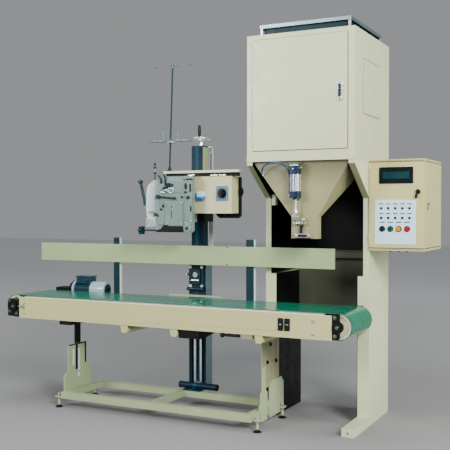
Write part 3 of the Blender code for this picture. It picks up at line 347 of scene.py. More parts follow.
class Kit:
    """Gathers closed shapes into one mesh, then becomes one piece."""

    def __init__(self):
        self.mesh = bmesh.new()

    def loft(self, rings):
        """Join rings of points into one closed shape."""
        rows = [[self.mesh.verts.new(point) for point in ring] for ring in rings]
        count = len(rows[0])
        faces = [self.mesh.faces.new(list(reversed(rows[0]))), self.mesh.faces.new(rows[-1])]
        for lower, upper in zip(rows, rows[1:]):
            for i in range(count):
                j = (i + 1) % count
                faces.append(self.mesh.faces.new((lower[i], lower[j], upper[j], upper[i])))
        bmesh.ops.recalc_face_normals(self.mesh, faces=faces)
        return self

    def box(self, x, y, z):
        return self.loft([[(x[0], y[0], h), (x[1], y[0], h), (x[1], y[1], h), (x[0], y[1], h)] for h in z])

    def prism(self, axis, outline, span):
        return self.loft([[place(axis, a, b, s) for a, b in outline] for s in span])

    def slab(self, axis, a, b, radius, span):
        """A flat plate with rounded corners: a and b are its spans across the axis."""
        return self.prism(axis, rounded(a, b, radius), span)

    def turned(self, axis, centre, profile, sides=40):
        return self.loft([[place(axis, a, b, s) for a, b in ring(centre, r, sides)] for s, r in profile])

    def rod(self, axis, centre, radius, span, sides=32):
        return self.turned(axis, centre, [(span[0], radius), (span[1], radius)], sides)

    def bar(self, start, end, radius, sides=16):
        start, end = Vector(start), Vector(end)
        along = (end - start).normalized()
        side = along.orthogonal().normalized()
        other = along.cross(side)
        unit = ring((0, 0), 1.0, sides)
        return self.loft(
            [[p + side * (radius * a) + other * (radius * b) for a, b in unit] for p in (start, end)]
        )

    def tube(self, points, radius, sides):
        """A round tube swept along points."""
        points = [Vector(p) for p in points]
        rings = []
        side = None
        for i, point in enumerate(points):
            before, after = points[max(i - 1, 0)], points[min(i + 1, len(points) - 1)]
            along = (after - before).normalized()
            side = along.orthogonal() if side is None else side - along * side.dot(along)
            side.normalize()
            other = along.cross(side)
            rings.append(
                [point + side * (radius * a) + other * (radius * b) for a, b in ring((0, 0), 1.0, sides)]
            )
        return self.loft(rings)

    def torus(self, axis, centre, major, minor, sides=56, round_sides=14):
        """A closed ring; its axis is X, Y or Z and its centre is (x, y, z)."""
        _, _, middle, across = aimed(centre, axis)
        rows = []
        for i in range(sides):
            angle = 2 * pi * i / sides
            row = []
            for j in range(round_sides):
                turn = 2 * pi * j / round_sides
                reach = major + minor * cos(turn)
                row.append(self.mesh.verts.new(place(
                    axis, across[0] + reach * cos(angle), across[1] + reach * sin(angle),
                    middle + minor * sin(turn),
                )))
            rows.append(row)
        faces = []
        for i in range(sides):
            near, far = rows[i], rows[(i + 1) % sides]
            for j in range(round_sides):
                k = (j + 1) % round_sides
                faces.append(self.mesh.faces.new((near[j], far[j], far[k], near[k])))
        bmesh.ops.recalc_face_normals(self.mesh, faces=faces)
        return self

    def bolt(self, at, axis, size):
        """A hexagon head on a washer, facing along the signed axis."""
        sign, letter, start, centre = aimed(at, axis)
        self.turned(letter, centre, [(start, size * 1.9), (start + sign * size * 0.35, size * 1.8)], 24)
        start += sign * size * 0.3
        profile = [
            (start, size * 1.08), (start + sign * size * 1.0, size * 1.08),
            (start + sign * size * 1.2, size * 0.85),
        ]
        self.turned(letter, centre, profile, 6)
        return self

    def screw(self, at, axis, size):
        """A low round screw head with a bevelled rim."""
        sign, letter, start, centre = aimed(at, axis)
        profile = [
            (start, size), (start + sign * size * 0.35, size * 0.92),
            (start + sign * size * 0.55, size * 0.55),
        ]
        self.turned(letter, centre, profile, 16)
        return self

    def piece(self, name, body, slot, bevel=0.0, segments=2, replaces=(), look=None, smooth=35, cuts=None):
        """Turn the gathered shapes into one named piece that rides a body and shows a slot."""
        mesh = bpy.data.meshes.new(name)
        self.mesh.to_mesh(mesh)
        self.mesh.free()
        made = bpy.data.objects.new(name, mesh)
        bpy.context.collection.objects.link(made)
        if cuts:
            carve(made, cuts)
        made.data.shade_smooth()
        made.data.set_sharp_from_angle(angle=radians(smooth))
        made.data.materials.clear()
        made.data.materials.append(LOOKS[look or slot])
        if bevel:
            soften(made, bevel, segments)
        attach(made, body)
        if replaces:
            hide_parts(*replaces)


def place(axis, a, b, s):
    return {"X": (s, a, b), "Y": (a, s, b), "Z": (a, b, s)}[axis]


def aimed(at, axis):
    """Sign and letter of a signed axis, how far along it the point lies, and the point's other two values."""
    sign = -1 if axis[0] == "-" else 1
    along = "XYZ".index(axis[-1])
    return sign, axis[-1], at[along], [value for index, value in enumerate(at) if index != along]


def around(middle, half):
    return (middle - half, middle + half)


def stepped(start, *profile):
    """Pairs whose first values are counted from start: a turned profile or an outline."""
    return [(start + along, radius) for along, radius in profile]


def ring(centre, radius, sides):
    turn = 2 * pi / sides
    return [(centre[0] + radius * cos(turn * i), centre[1] + radius * sin(turn * i)) for i in range(sides)]


def rounded(x, z, radius, steps=5):
    corners = (
        (x[1] - radius, z[1] - radius, 0.0),
        (x[0] + radius, z[1] - radius, pi / 2),
        (x[0] + radius, z[0] + radius, pi),
        (x[1] - radius, z[0] + radius, 1.5 * pi),
    )
    outline = []
    for cx, cz, first in corners:
        for step in range(steps + 1):
            angle = first + step * pi / 2 / steps
            outline.append((cx + radius * cos(angle), cz + radius * sin(angle)))
    return outline


def carve(target, cutters):
    """Take closed Kit shapes away from the target."""
    mesh = bpy.data.meshes.new("cutter")
    cutters.mesh.to_mesh(mesh)
    cutters.mesh.free()
    cutter = bpy.data.objects.new("cutter", mesh)
    bpy.context.collection.objects.link(cutter)
    step = target.modifiers.new("cut", "BOOLEAN")
    step.operation = "DIFFERENCE"
    step.solver = "EXACT"
    step.use_self = True
    step.object = cutter
    bpy.context.view_layer.update()
    graph = bpy.context.evaluated_depsgraph_get()
    cut = bpy.data.meshes.new_from_object(target.evaluated_get(graph))
    target.modifiers.clear()
    target.data = cut
    bpy.data.objects.remove(cutter)


def soften(target, width, segments=2):
    """Round the hard edges with a bevel that keeps flat faces flat."""
    step = target.modifiers.new("round_edges", "BEVEL")
    step.width = width
    step.segments = segments
    step.limit_method = "ANGLE"
    step.angle_limit = radians(32)
    step.harden_normals = True
    step.use_clamp_overlap = True


def keep_node(name, bevel, look):
    """Keep a CAD node in view, with a real material and rounded edges."""
    target = NODES[name]
    target.data.materials.clear()
    target.data.materials.append(LOOKS[look])
    if bevel:
        flat = target.modifiers.new("merge_flat", "DECIMATE")
        flat.decimate_type = "DISSOLVE"
        flat.angle_limit = radians(1.5)
        soften(target, bevel)


# ---------------------------------------------------------------- filling scale

def add_scale():
    """Covers, latch, inlet, end cap, rim and spout collar of the filling scale."""
    right, front = 1.217, -0.3055

    # Right side access cover and its two catches
    cover = Kit().slab("X", (-0.12, 0.256), (2.165, 2.532), 0.012, (right - 0.001, right + 0.0025))
    cover.piece("side_cover", "line", "cabinet_paint", 0.0012)
    seam = Kit().slab("X", (-0.125, 0.261), (2.16, 2.537), 0.014, (right - 0.001, right + 0.0009))
    seam.piece("side_cover_seam", "line", "black_plastic", look="soft_seam")
    catches = Kit()
    for z in (2.2, 2.497):
        catches.screw((right + 0.0025, -0.104, z), "X", 0.006)
    catches.piece("side_cover_screws", "line", "steel")

    # Dark gasket line around the door
    low_x, high_x, low_z, high_z = 0.4765, 1.1705, 1.9155, 2.6905
    gasket = Kit().box((low_x, high_x), around(front, 0.001), (low_z, high_z))
    opening = Kit().box((0.4805, 1.1665), around(front, 0.02), (1.9195, 2.6865))
    gasket.piece("door_gasket", "line", "black_plastic", cuts=opening, look="soft_seam")

    # Door latch bezel with its key cylinder
    face = front - 0.016
    bezel = Kit().slab("Y", (1.096, 1.136), (2.232, 2.37), 0.007, (face - 0.0015, face + 0.004))
    window = Kit().slab("Y", (1.1055, 1.1265), (2.256, 2.348), 0.004, around(face, 0.02))
    bezel.piece("latch_bezel", "scale_door", "chrome", 0.001, cuts=window)
    key = Kit().turned(
        "Y", (1.116, 2.244), stepped(face, (-0.0005, 0.006), (-0.004, 0.0055), (-0.0045, 0.004)), 20,
    )
    key.box((1.1152, 1.1168), (face - 0.005, face - 0.004), (2.24, 2.248))
    key.piece("latch_key_barrel", "scale_door", "black_plastic")

    # Inlet frame of angle sections with bolted corners
    x, y, base = (0.535, 1.15), (-0.235, 0.425), 2.7224
    wide_x, wide_y = (x[0] - 0.025, x[1] + 0.025), (y[0] - 0.025, y[1] + 0.025)
    throat = Kit().box((x[0] + 0.005, x[1] - 0.005), (y[0] + 0.005, y[1] - 0.005), (2.7, 2.83))
    wall = Kit().box(x, y, (base, 2.796))
    wall.piece(
        "inlet_throat_wall", "line", "dark_teal_paint", 0.001, cuts=throat, replaces=["inlet_flange"],
    )
    frame_top = Kit().box(wide_x, wide_y, (2.794, 2.8)).box(wide_x, wide_y, (2.776, 2.797))
    hollow = Kit().box(x, y, (2.7, 2.83))
    hollow.box((wide_x[0] + 0.004, wide_x[1] - 0.004), (wide_y[0] + 0.004, wide_y[1] - 0.004), (2.7, 2.794))
    frame_top.piece("inlet_angle_frame", "line", "steel", 0.001, cuts=hollow, look="blue_steel")
    posts = Kit()
    for px in (x[0] - 0.021, x[1] + 0.003):
        for py in (y[0] - 0.021, y[1] + 0.003):
            posts.box((px, px + 0.018), (py, py + 0.018), (base, 2.778))
            posts.box((px - 0.004, px + 0.022), (py - 0.004, py + 0.022), (base, base + 0.006))
    posts.piece("inlet_corner_posts", "line", "steel", 0.0008)
    foot = Kit().box(wide_x, wide_y, (base, base + 0.008))
    hole = Kit().box(x, y, (2.7, 2.83))
    foot.piece("inlet_foot_flange", "line", "cabinet_paint", 0.001, cuts=hole)

    # End cap of the right foot beam
    caps = Kit().slab("Y", (1.1315, 1.2165), (0.0005, 0.0565), 0.004, (-0.3165, -0.3125))
    dot = Kit().rod("Y", (1.176, 0.027), 0.006, (-0.33, -0.3))
    caps.piece("foot_end_cap", "line", "cabinet_paint", 0.0012, cuts=dot)

    # Rolled rim strip of the hopper
    rim = Kit().box((0.4785, 1.1715), (-0.2845, -0.28), (1.832, 1.8435))
    rim.piece("hopper_rim_strip", "line", "hopper_paint", 0.001)

    # Block at the foot of the left gusset, folded hem of the back panel, and the spout collar
    block = Kit().box((0.4785, 0.508), (0.0215, 0.06), (1.545, 1.624))
    block.piece("gusset_block", "line", "cabinet_paint", 0.0016)
    hem = Kit().box((0.521, 1.129), (0.4705, 0.4875), (0.75, 0.7997))
    hem.box((0.521, 1.129), (0.46, 0.4875), (0.75, 0.753))
    hem.piece("back_panel_hem", "line", "cabinet_paint", 0.001, look="back_shadow")
    spout = Kit().box((0.7615, 0.956), (-0.2928, -0.2286), (1.315, 1.323))
    inner = Kit().box((0.764, 0.9535), (-0.2903, -0.231), (1.3, 1.34))
    spout.piece("spout_collar", "line", "hopper_paint", 0.0012, cuts=inner)


def add_cylinder():
    """Air cylinder of the bag clamp, its clevis, and the links and dark jaw."""
    x, y = 0.808, -0.335
    caps = Kit()
    for low, high in ((1.59, 1.636), (1.752, 1.808)):
        caps.slab("Z", around(x, 0.0335), around(y, 0.0335), 0.009, (low, high))
    caps.rod("Z", (x, y), 0.019, (1.58, 1.592), 24)
    caps.piece("cylinder_caps", "line", "handle_blue", 0.0016, replaces=["air_cylinder"])
    barrel = Kit().rod("Z", (x, y), 0.0285, (1.634, 1.755), 48)
    barrel.piece("cylinder_barrel", "line", "steel", look="silver_tube")
    rods = Kit()
    for dx in (-0.025, 0.025):
        for dy in (-0.025, 0.025):
            rods.rod("Z", (x + dx, y + dy), 0.0032, (1.588, 1.812), 12)
            rods.bolt((x + dx, y + dy, 1.808), "Z", 0.0042)
    rods.piece("cylinder_tie_rods", "line", "chrome")
    top = Kit().box(around(x, 0.02), around(y, 0.02), (1.806, 1.8225))
    top.box(around(x, 0.03), (y - 0.03, y + 0.055), (1.8215, 1.8315))
    top.piece("cylinder_top_bracket", "line", "steel", 0.001)
    ports = Kit().turned(
        "Z", (0.766, y), [(1.594, 0.008), (1.611, 0.008), (1.611, 0.0066), (1.618, 0.0066)], 20,
    )
    ports.rod("X", (y, 1.604), 0.0062, (0.766, x - 0.026), 20)
    ports.turned(
        "X", (y, 1.794), stepped(x, (0.03, 0.008), (0.042, 0.008), (0.042, 0.006), (0.047, 0.006)), 20,
    )
    ports.turned(
        "Y", (x, 1.786), stepped(y, (-0.033, 0.006), (-0.045, 0.006), (-0.045, 0.0045), (-0.05, 0.0045)),
        16,
    )
    ports.piece("cylinder_fittings", "line", "chrome", 0.0004)
    fitting = Kit().turned(
        "Y", (0.552, 1.762), [(-0.2825, 0.011), (-0.287, 0.011), (-0.287, 0.0085), (-0.2945, 0.0085)], 20,
    )
    fitting.piece("hose_wall_fitting", "line", "chrome")

    # Clevis, links and jaw of the bag clamp
    clevis = Kit().turned("Z", (x, y), [(1.49, 0.013), (1.504, 0.013), (1.507, 0.0095), (1.514, 0.0095)], 6)
    clevis.rod("X", (y, 1.464), 0.007, around(x, 0.021), 20)
    clevis.rod("X", (y, 1.464), 0.0115, (x - 0.017, x - 0.0135), 20)
    clevis.rod("X", (y, 1.464), 0.0115, (x + 0.0135, x + 0.017), 20)
    clevis.piece("rod_clevis_pin", "piston", "chrome", 0.0005)
    hubs = Kit()
    for hx in (x - 0.0205, x, x + 0.02, x + 0.045, x + 0.069):
        hub = stepped(hx, (-0.0035, 0.008), (-0.0025, 0.011), (0.0025, 0.011), (0.0035, 0.008))
        hubs.turned("X", CLAMP_PIVOT, hub, 24)
    hubs.bar((x + 0.02, -0.308, 1.42), (x + 0.058, -0.322, 1.446), 0.0055, 16)
    hubs.rod("X", (-0.322, 1.446), 0.0095, (x + 0.05, x + 0.066), 24)
    for hx in (x - 0.004, x + 0.092):
        hubs.turned(
            "Y", (hx, 1.336), [(-0.3175, 0.0115), (-0.3225, 0.0105), (-0.3225, 0.006), (-0.326, 0.0055)],
            28,
        )
    hubs.piece("clamp_hubs", "clamp", "chrome", 0.0006)
    dark = Kit().box((x + 0.0245, x + 0.0395), (-0.3145, -0.299), (1.346, 1.412))
    dark.box((x + 0.012, x + 0.078), (-0.32, -0.3165), (1.326, 1.342))
    dark.slab("Y", (x - 0.01, x + 0.098), (1.3165, 1.3235), 0.003, (-0.317, -0.294))
    dark.piece("clamp_dark_arm", "clamp", "black_plastic", 0.0014)


def add_controls():
    """Screen, keys, seams, key, lock, hinges and cable glands of the control cabinet."""
    door_face, film = 0.0055, 0.0004
    front = door_face - film
    # Display: a dark teal band set in the bezel
    screen = Kit().slab("Y", (1.318, 1.5), (1.723, 1.77), 0.002, (front - 0.004, front - 0.0024))
    screen.piece("display_screen", "panel", "display_glass", 0.0004, look="lcd")

    # Membrane keys and push button collars, with a plain bar above each
    keys, bars, rings = Kit(), Kit(), Kit()
    pad = front - 0.003
    for z in (1.521, 1.455):
        for column in range(5):
            x = 1.307 + column * 0.04875
            keys.slab("Y", around(x, 0.0085), around(z, 0.0085), 0.0025, (pad - 0.0016, pad + 0.0005))
            bars.box(around(x, 0.0155), around(pad, 0.0005), (z + 0.0265, z + 0.033))
    hollow = Kit()
    for x in BUTTON_X:
        bars.box(around(x, 0.019), around(pad, 0.0005), (1.422, 1.4285))
        rings.turned(
            "Y", (x, BUTTON_Z), stepped(pad, (0.0002, 0.0215), (-0.0028, 0.0205), (-0.0032, 0.0175)), 32,
        )
        hollow.rod("Y", (x, BUTTON_Z), 0.0159, around(pad, 0.02), 32)
    keys.piece("membrane_keys", "panel", "black_plastic", 0.0004)
    bars.piece("membrane_bars", "panel", "black_plastic")
    rings.piece("button_collars", "panel", "black_plastic", 0.0006, cuts=hollow)

    # Dark seams under the lid and over the bottom edge: on the panel's front and the cabinet's right side
    front_seams, side_seams = Kit(), Kit()
    for z in (1.8395, 1.248):
        front_seams.box((1.2218, 1.5977), (0.0044, 0.0058), around(z, 0.0032))
        side_seams.box((1.601, 1.6027), (0.025, 0.52), around(z, 0.0032))
    front_seams.piece("panel_seams", "panel", "black_plastic", look="soft_seam")
    side_seams.piece("cabinet_seams", "line", "black_plastic", look="soft_seam")
    key = Kit().bar((1.56, -0.01, 1.633), (1.552, -0.011, 1.614), 0.0035, 12)
    key.slab("Y", (1.5415, 1.5585), (1.588, 1.616), 0.006, (-0.0125, -0.0095))
    key.piece("hanging_key", "selector", "black_plastic", 0.0005)

    # Cam lock with its small lever in the side wall
    lock = Kit().turned(
        "X", (0.11, 1.536),
        [(1.6015, 0.015), (1.604, 0.015), (1.6055, 0.012), (1.6055, 0.009), (1.603, 0.009)], 28,
    )
    lock.bar((1.6065, 0.104, 1.548), (1.6065, 0.088, 1.512), 0.0045, 16)
    lock.turned("X", (0.104, 1.548), [(1.6015, 0.01), (1.6105, 0.009)], 24)
    lock.piece("side_lock", "line", "chrome", 0.0006, look="lock_grey")
    pads = Kit()
    for z in (1.3, 1.79):
        pads.rod("Z", (1.2225, 0.0035), 0.0045, (z, z + 0.045), 16)
    pads.piece("panel_hinges", "line", "cabinet_paint", 0.0005)
    glands = Kit()
    for gx in (1.29, 1.35, 1.41):
        glands.turned("Z", (gx, 0.3), [(1.23, 0.014), (1.222, 0.014), (1.222, 0.01), (1.21, 0.009)], 20)
    glands.piece("cabinet_glands", "line", "black_plastic", 0.0006)


# ---------------------------------------------------------------- conveyor

def add_conveyor():
    """Switches, rail, bearings, belt and drums, and then the parts that hang on the rail."""
    front, back = RAIL_FRONT, RAIL_BACK
    # A single and a double rocker switch on the front of the rail
    rockers, marks, surrounds = Kit(), Kit(), Kit()
    single_x, double_x, half_width = 0.777, 0.824, 0.0118
    for x in (single_x, double_x):
        outline = rounded(around(x, 0.0192), (0.7108, 0.7942), 0.005)
        surrounds.prism("Y", outline, (front - 0.0072, front - 0.0002))
    rockers.box(around(single_x, half_width), (front - 0.0085, front - 0.004), (0.728, 0.778))
    for low in (0.728, 0.7545):
        rockers.box(around(double_x, half_width), (front - 0.0088, front - 0.004), (low, low + 0.0235))
    surrounds.piece("switch_surrounds", "conveyor", "black_plastic", 0.0012)
    rockers.piece("rocker_switches", "conveyor", "black_plastic", 0.0018)
    marks.box((0.772, 0.782), (front - 0.009, front - 0.0084), (0.7505, 0.7555))
    marks.box((0.814, 0.834), (front - 0.0092, front - 0.006), (0.7521, 0.7541))
    marks.piece("rocker_marks", "conveyor", "white_film")

    bolts = Kit()
    for z in (0.784, 0.702):
        bolts.bolt((1.005, front, z), "-Y", 0.0065)
        bolts.bolt((-1.395, front, z), "-Y", 0.005)
        bolts.bolt((1.005, back, z), "Y", 0.0065)
    bolts.piece("rail_bolts", "conveyor", "steel", 0.0005)

    # Folded end of the side sheet, and a rolled top edge in pale paint, a painted highlight
    fold = Kit().box((1.073, 1.1318), (front - 0.0016, front + 0.002), (0.668, 0.829))
    fold.piece("rail_end_fold", "conveyor", "rail_paint", 0.0008)
    edge = Kit().box((-1.4, 1.075), (front - 0.0008, front + 0.01), (0.8265, 0.8315))
    edge.piece("rail_top_edge", "conveyor", "rail_paint", 0.0016, 3, look="edge_highlight")

    # Bearing rings, shaft ends and set screws, and the take-up screw of the drive end
    rings, shafts, screws = Kit(), Kit(), Kit()
    for x, outer, sign in ((TAIL_X, front, -1), (TAIL_X, back, 1), (DRIVE_X, front, -1)):
        plane = outer + sign * 0.0005
        rings.turned(
            "Y", (x, DRUM_Z),
            [(plane, 0.0335), (plane + sign * 0.0135, 0.03), (plane + sign * 0.0135, 0.02)], 40,
        )
        shafts.turned(
            "Y", (x, DRUM_Z),
            [(plane, 0.0122), (plane + sign * 0.0165, 0.0122), (plane + sign * 0.018, 0.0105)], 28,
        )
        for dz in (-0.058, 0.062):
            screws.bolt(
                (x - 0.018 if x > 0 else x + 0.025, outer, DRUM_Z + dz), "-Y" if sign < 0 else "Y", 0.0075,
            )
    hole = Kit()
    for x in (TAIL_X, DRIVE_X):
        hole.rod("Y", (x, DRUM_Z), 0.0134, (front - 0.05, front + 0.02))
        hole.rod("Y", (x, DRUM_Z), 0.0134, (back - 0.02, back + 0.05))
    rings.piece("bearing_rings", "conveyor", "black_paint", 0.0012, cuts=hole)
    shafts.piece("bearing_shaft_ends", "conveyor", "chrome", look="lock_grey")
    for z in (0.712, 0.798):
        screws.bolt((-1.546, front, z), "-Y", 0.007)
    screws.piece("bearing_screws", "conveyor", "chrome", 0.0004, look="lock_grey")
    takeup = Kit().rod("X", (front - 0.006, DRUM_Z), 0.005, (-1.452, -1.392), 16)
    takeup.rod("X", (front - 0.006, DRUM_Z), 0.01, (-1.42, -1.408), 6)
    takeup.box((-1.404, -1.396), (front - 0.014, front + 0.001), (0.738, 0.772))
    takeup.piece("take_up_screw", "conveyor", "steel", 0.0006)

    # Smooth belt loop and drum ends
    loop, core = [], []
    for centre, first in ((TAIL_X, -pi / 2), (DRIVE_X, pi / 2)):
        for step in range(41):
            angle = first + step * pi / 40
            loop.append((centre + 0.088 * cos(angle), DRUM_Z + 0.088 * sin(angle)))
            core.append((centre + 0.084 * cos(angle), DRUM_Z + 0.084 * sin(angle)))
    belt = Kit().prism("Y", loop, (-0.4865, -0.0425))
    inner = Kit().prism("Y", core, (-0.52, 0.0))
    belt.piece("belt_loop", "conveyor", "belt_green", 0.0008, cuts=inner, replaces=["conveyor_belt"])
    for body, x in (("tail_drum", TAIL_X), ("drive_drum", DRIVE_X)):
        drum = Kit().rod("Y", (x, DRUM_Z), 0.0836, (-0.482, -0.047), 64)
        dish = Kit()
        for low, high in ((-0.49, -0.474), (-0.055, -0.03)):
            dish.turned("Y", (x, DRUM_Z), [(low, 0.07), (high, 0.064)], 48)
        drum.piece(body + "_shell", body, "steel", 0.001, cuts=dish, look="drum_cream",
                   replaces=["tail_roller" if x > 0 else "drive_roller"])
        axle = Kit().rod("Y", (x, DRUM_Z), 0.0125, (front + 0.001, 0.01 if x > 0 else 0.06), 40)
        axle.turned("Y", (x, DRUM_Z), [(-0.476, 0.03), (-0.486, 0.028), (-0.488, 0.02)], 32)
        axle.piece(body + "_axle", body, "steel", 0.0006)

    add_drive()
    add_guide_board()
    add_under_rail()
    add_legs()


def add_drive():
    """Drive motor with its fins, fan cover and terminal box, and the gearbox bolts."""
    axis = MOTOR_AXIS
    body = Kit().rod("X", axis, 0.0575, (-1.333, -1.162), 64)
    for step in range(26):
        angle = step * 2 * pi / 26
        under_terminal_box = abs(angle - pi / 2) < 0.55
        if under_terminal_box:
            continue
        ca, sa = cos(angle), sin(angle)
        corners = ((0.056, 0.0012), (0.056, -0.0012), (0.0655, -0.001), (0.0655, 0.001))
        fin = [(axis[0] + ca * out - sa * off, axis[1] + sa * out + ca * off) for out, off in corners]
        body.prism("X", fin, (-1.326, -1.167))
    for x in (-1.318, -1.19):
        body.box((x, x + 0.03), (0.025, 0.145), (0.777, 0.8))
    body.piece(
        "motor_frame", "conveyor", "motor_paint", 0.0004, replaces=["drive_motor"], look="motor_navy",
    )
    ends = Kit().turned("X", axis, [(-1.3426, 0.07), (-1.33, 0.07), (-1.325, 0.062)], 48)
    cover = [
        (-1.168, 0.064), (-1.164, 0.0675), (-1.052, 0.0675), (-1.036, 0.064), (-1.0285, 0.056),
        (-1.0265, 0.05),
    ]
    ends.turned("X", axis, cover, 64)
    hub = Kit().turned("X", axis, [(-1.03, 0.046), (-1.0262, 0.046), (-1.0258, 0.044)], 48)
    for radius in (0.012, 0.04):
        hub.turned("X", axis, [(-1.0262, radius), (-1.025, radius - 0.001), (-1.025, radius - 0.004)], 40)
    hub.piece("motor_fan_grille", "conveyor", "dark_teal_paint", 0.0003)
    slots = Kit()
    for step in range(16):
        angle = step * 2 * pi / 16
        for radius in (0.022, 0.034, 0.045):
            at = (axis[0] + radius * cos(angle), axis[1] + radius * sin(angle))
            slots.rod("X", at, 0.004, (-1.035, -1.01), 8)
    ends.piece("motor_fan_cover", "conveyor", "motor_paint", 0.0015, cuts=slots, look="motor_silver")
    box = Kit().slab("Z", (-1.314, -1.168), (0.043, 0.127), 0.008, (0.899, 0.944))
    box.slab("Z", (-1.318, -1.164), (0.039, 0.131), 0.009, (0.947, 0.96))
    box.turned("Y", (-1.2, 0.925), [(0.045, 0.012), (0.03, 0.012), (0.03, 0.009), (0.016, 0.008)], 20)
    box.piece("motor_terminal_box", "conveyor", "motor_paint", 0.0018, look="motor_navy")
    gear = Kit()
    for x, top in ((-1.548, 0.818), (-1.375, 0.85)):
        for z in (0.704, top):
            gear.bolt((x, 0.135, z), "Y", 0.006)
    gear.turned("Y", (DRIVE_X, DRUM_Z), [(0.134, 0.036), (0.141, 0.034), (0.143, 0.026)], 36)
    gear.piece("gearbox_cover_bolts", "conveyor", "black_paint", 0.0008)


def add_guide_board():
    """Bag guide board with its posts, strips and screws."""
    plank = Kit().box((-1.602, 0.988), (-0.0525, -0.0325), (1.093, 1.238))
    hollow = Kit().box((-1.598, 0.984), (-0.0485, -0.02), (1.097, 1.234))
    plank.piece("guide_plank", "conveyor", "board_paint", 0.002, 3, cuts=hollow, replaces=["guide_board"])
    posts, screws, cheeks = Kit(), Kit(), Kit()
    for low, high in ((-0.883, -0.826), (0.296, 0.359)):
        posts.box((low, high), (-0.0325, -0.0025), (0.8305, 1.29))
        posts.box((low - 0.01, high + 0.01), (-0.048, -0.03), (1.11, 1.22))
        cheeks.box((high + 0.0003, high + 0.006), (-0.031, -0.006), (0.8305, 1.29))
        posts.box((low - 0.012, high + 0.012), (-0.034, 0.0115), (0.8305, 0.837))
        for z in (1.133, 1.197):
            screws.bolt(((low + high) / 2, -0.0025, z), "Y", 0.006)
    posts.piece("board_posts", "conveyor", "dark_teal_paint", 0.0016)
    cheeks.piece("board_post_edges", "conveyor", "steel", 0.0008, look="pale_strip")
    for z in (1.102, 1.229):
        screws.screw((0.15, -0.0525, z), "-Y", 0.0055)
    screws.piece("board_screws", "conveyor", "black_plastic", 0.0004)


def add_under_rail():
    """Bracket and lever below the belt, and the end rings of the idlers."""
    wedge = [(-0.49, RAIL_UNDER_Z), (-0.1, RAIL_UNDER_Z), (-0.1, 0.64), (-0.46, 0.6), (-0.49, 0.612)]
    brackets = Kit()
    for low in (-0.014, 0.15):
        brackets.prism("X", wedge, (low, low + 0.006))
    brackets.box((-0.014, 0.156), (-0.49, -0.484), (0.604, RAIL_UNDER_Z))
    brackets.box((-0.014, 0.156), (-0.484, -0.42), (0.655, RAIL_UNDER_Z))
    brackets.piece("under_bracket", "conveyor", "black_paint", 0.0012)
    lever = Kit().rod("X", (-0.478, 0.648), 0.01, (0.335, 0.46), 24)
    lever.turned("X", (-0.478, 0.648), [(0.315, 0.014), (0.319, 0.018), (0.335, 0.018), (0.339, 0.012)], 24)
    for x in (0.372, 0.44):
        lever.box((x, x + 0.014), (-0.486, -0.47), (0.65, 0.6668))
    lever.piece("under_lever", "conveyor", "black_plastic", 0.001)
    for number, x in enumerate((-0.47, -0.05, 0.612), 1):
        ends = Kit()
        ends.turned("Y", (x, 0.636), [(RAIL_FRONT + 0.0185, 0.0285), (RAIL_FRONT + 0.0165, 0.0235)], 36)
        ends.turned("Y", (x, 0.636), [(-0.0075, 0.0285), (-0.0055, 0.0235)], 36)
        ends.piece("idler_end_%d" % number, "idler_%d" % number, "rail_paint", 0.0006)


def add_legs():
    # Lock nuts and rubber pads of the four feet
    feet, pads = Kit(), Kit()
    for x, y in ((0.587, -0.466), (0.587, -0.03), (-1.072, -0.492), (-1.072, -0.03)):
        feet.rod("Z", (x, y), 0.016, (0.08, 0.066), 6)
        feet.rod("Z", (x, y), 0.014, (0.088, 0.1), 6)
        pads.turned("Z", (x, y), [(0.0004, 0.0285), (0.006, 0.029), (0.015, 0.012), (0.02, 0.0115)], 32)
    feet.piece("foot_nuts", "line", "steel", 0.0006)
    pads.piece("foot_pads", "line", "black_plastic", 0.0006)

    # Bright guide strips behind the slots of the left plate, and a dark rim along its top
    left = -1.042
    strips = Kit()
    for (low, high), span in (((-0.362, -0.335), (0.293, 0.427)), ((-0.294, -0.265), (0.198, 0.237))):
        strips.box((left - 0.0078, left - 0.005), (low, high), span)
    strips.piece("left_slot_strips", "line", "steel", 0.0006, look="pale_strip")
    slide = Kit().box((left - 0.0095, left - 0.0081), (-0.3, -0.258), (0.245, 0.426))
    slide.piece("left_slide_strip", "conveyor", "steel", 0.0006, look="pale_strip")
    dark = Kit().box((left + 0.0012, left + 0.003), (-0.414, -0.1915), (0.456, 0.4655))
    dark.box((left + 0.0012, left + 0.0035), (-0.328, -0.301), (0.262, 0.455))
    dark.box((left + 0.0012, left + 0.0035), (-0.21, -0.1925), (0.3, 0.455))
    dark.piece("left_plate_bars", "line", "black_paint", 0.0006)

    bolts = Kit()
    right = 0.557 + 0.008
    for y, z in ((-0.252, 0.44), (-0.2, 0.56), (-0.1, 0.43)):
        bolts.bolt((right, y, z), "X", 0.0085)
    bolts.piece("right_channel_bolts", "conveyor", "black_paint", 0.0006)
    lower = Kit()
    for y, z in ((-0.32, 0.14), (-0.32, 0.2), (-0.15, 0.14), (-0.05, 0.14)):
        lower.screw((0.5735, y, z), "X", 0.008)
    lower.piece("right_plate_screws", "line", "frame_paint", 0.0004)


# ---------------------------------------------------------------- sewing station

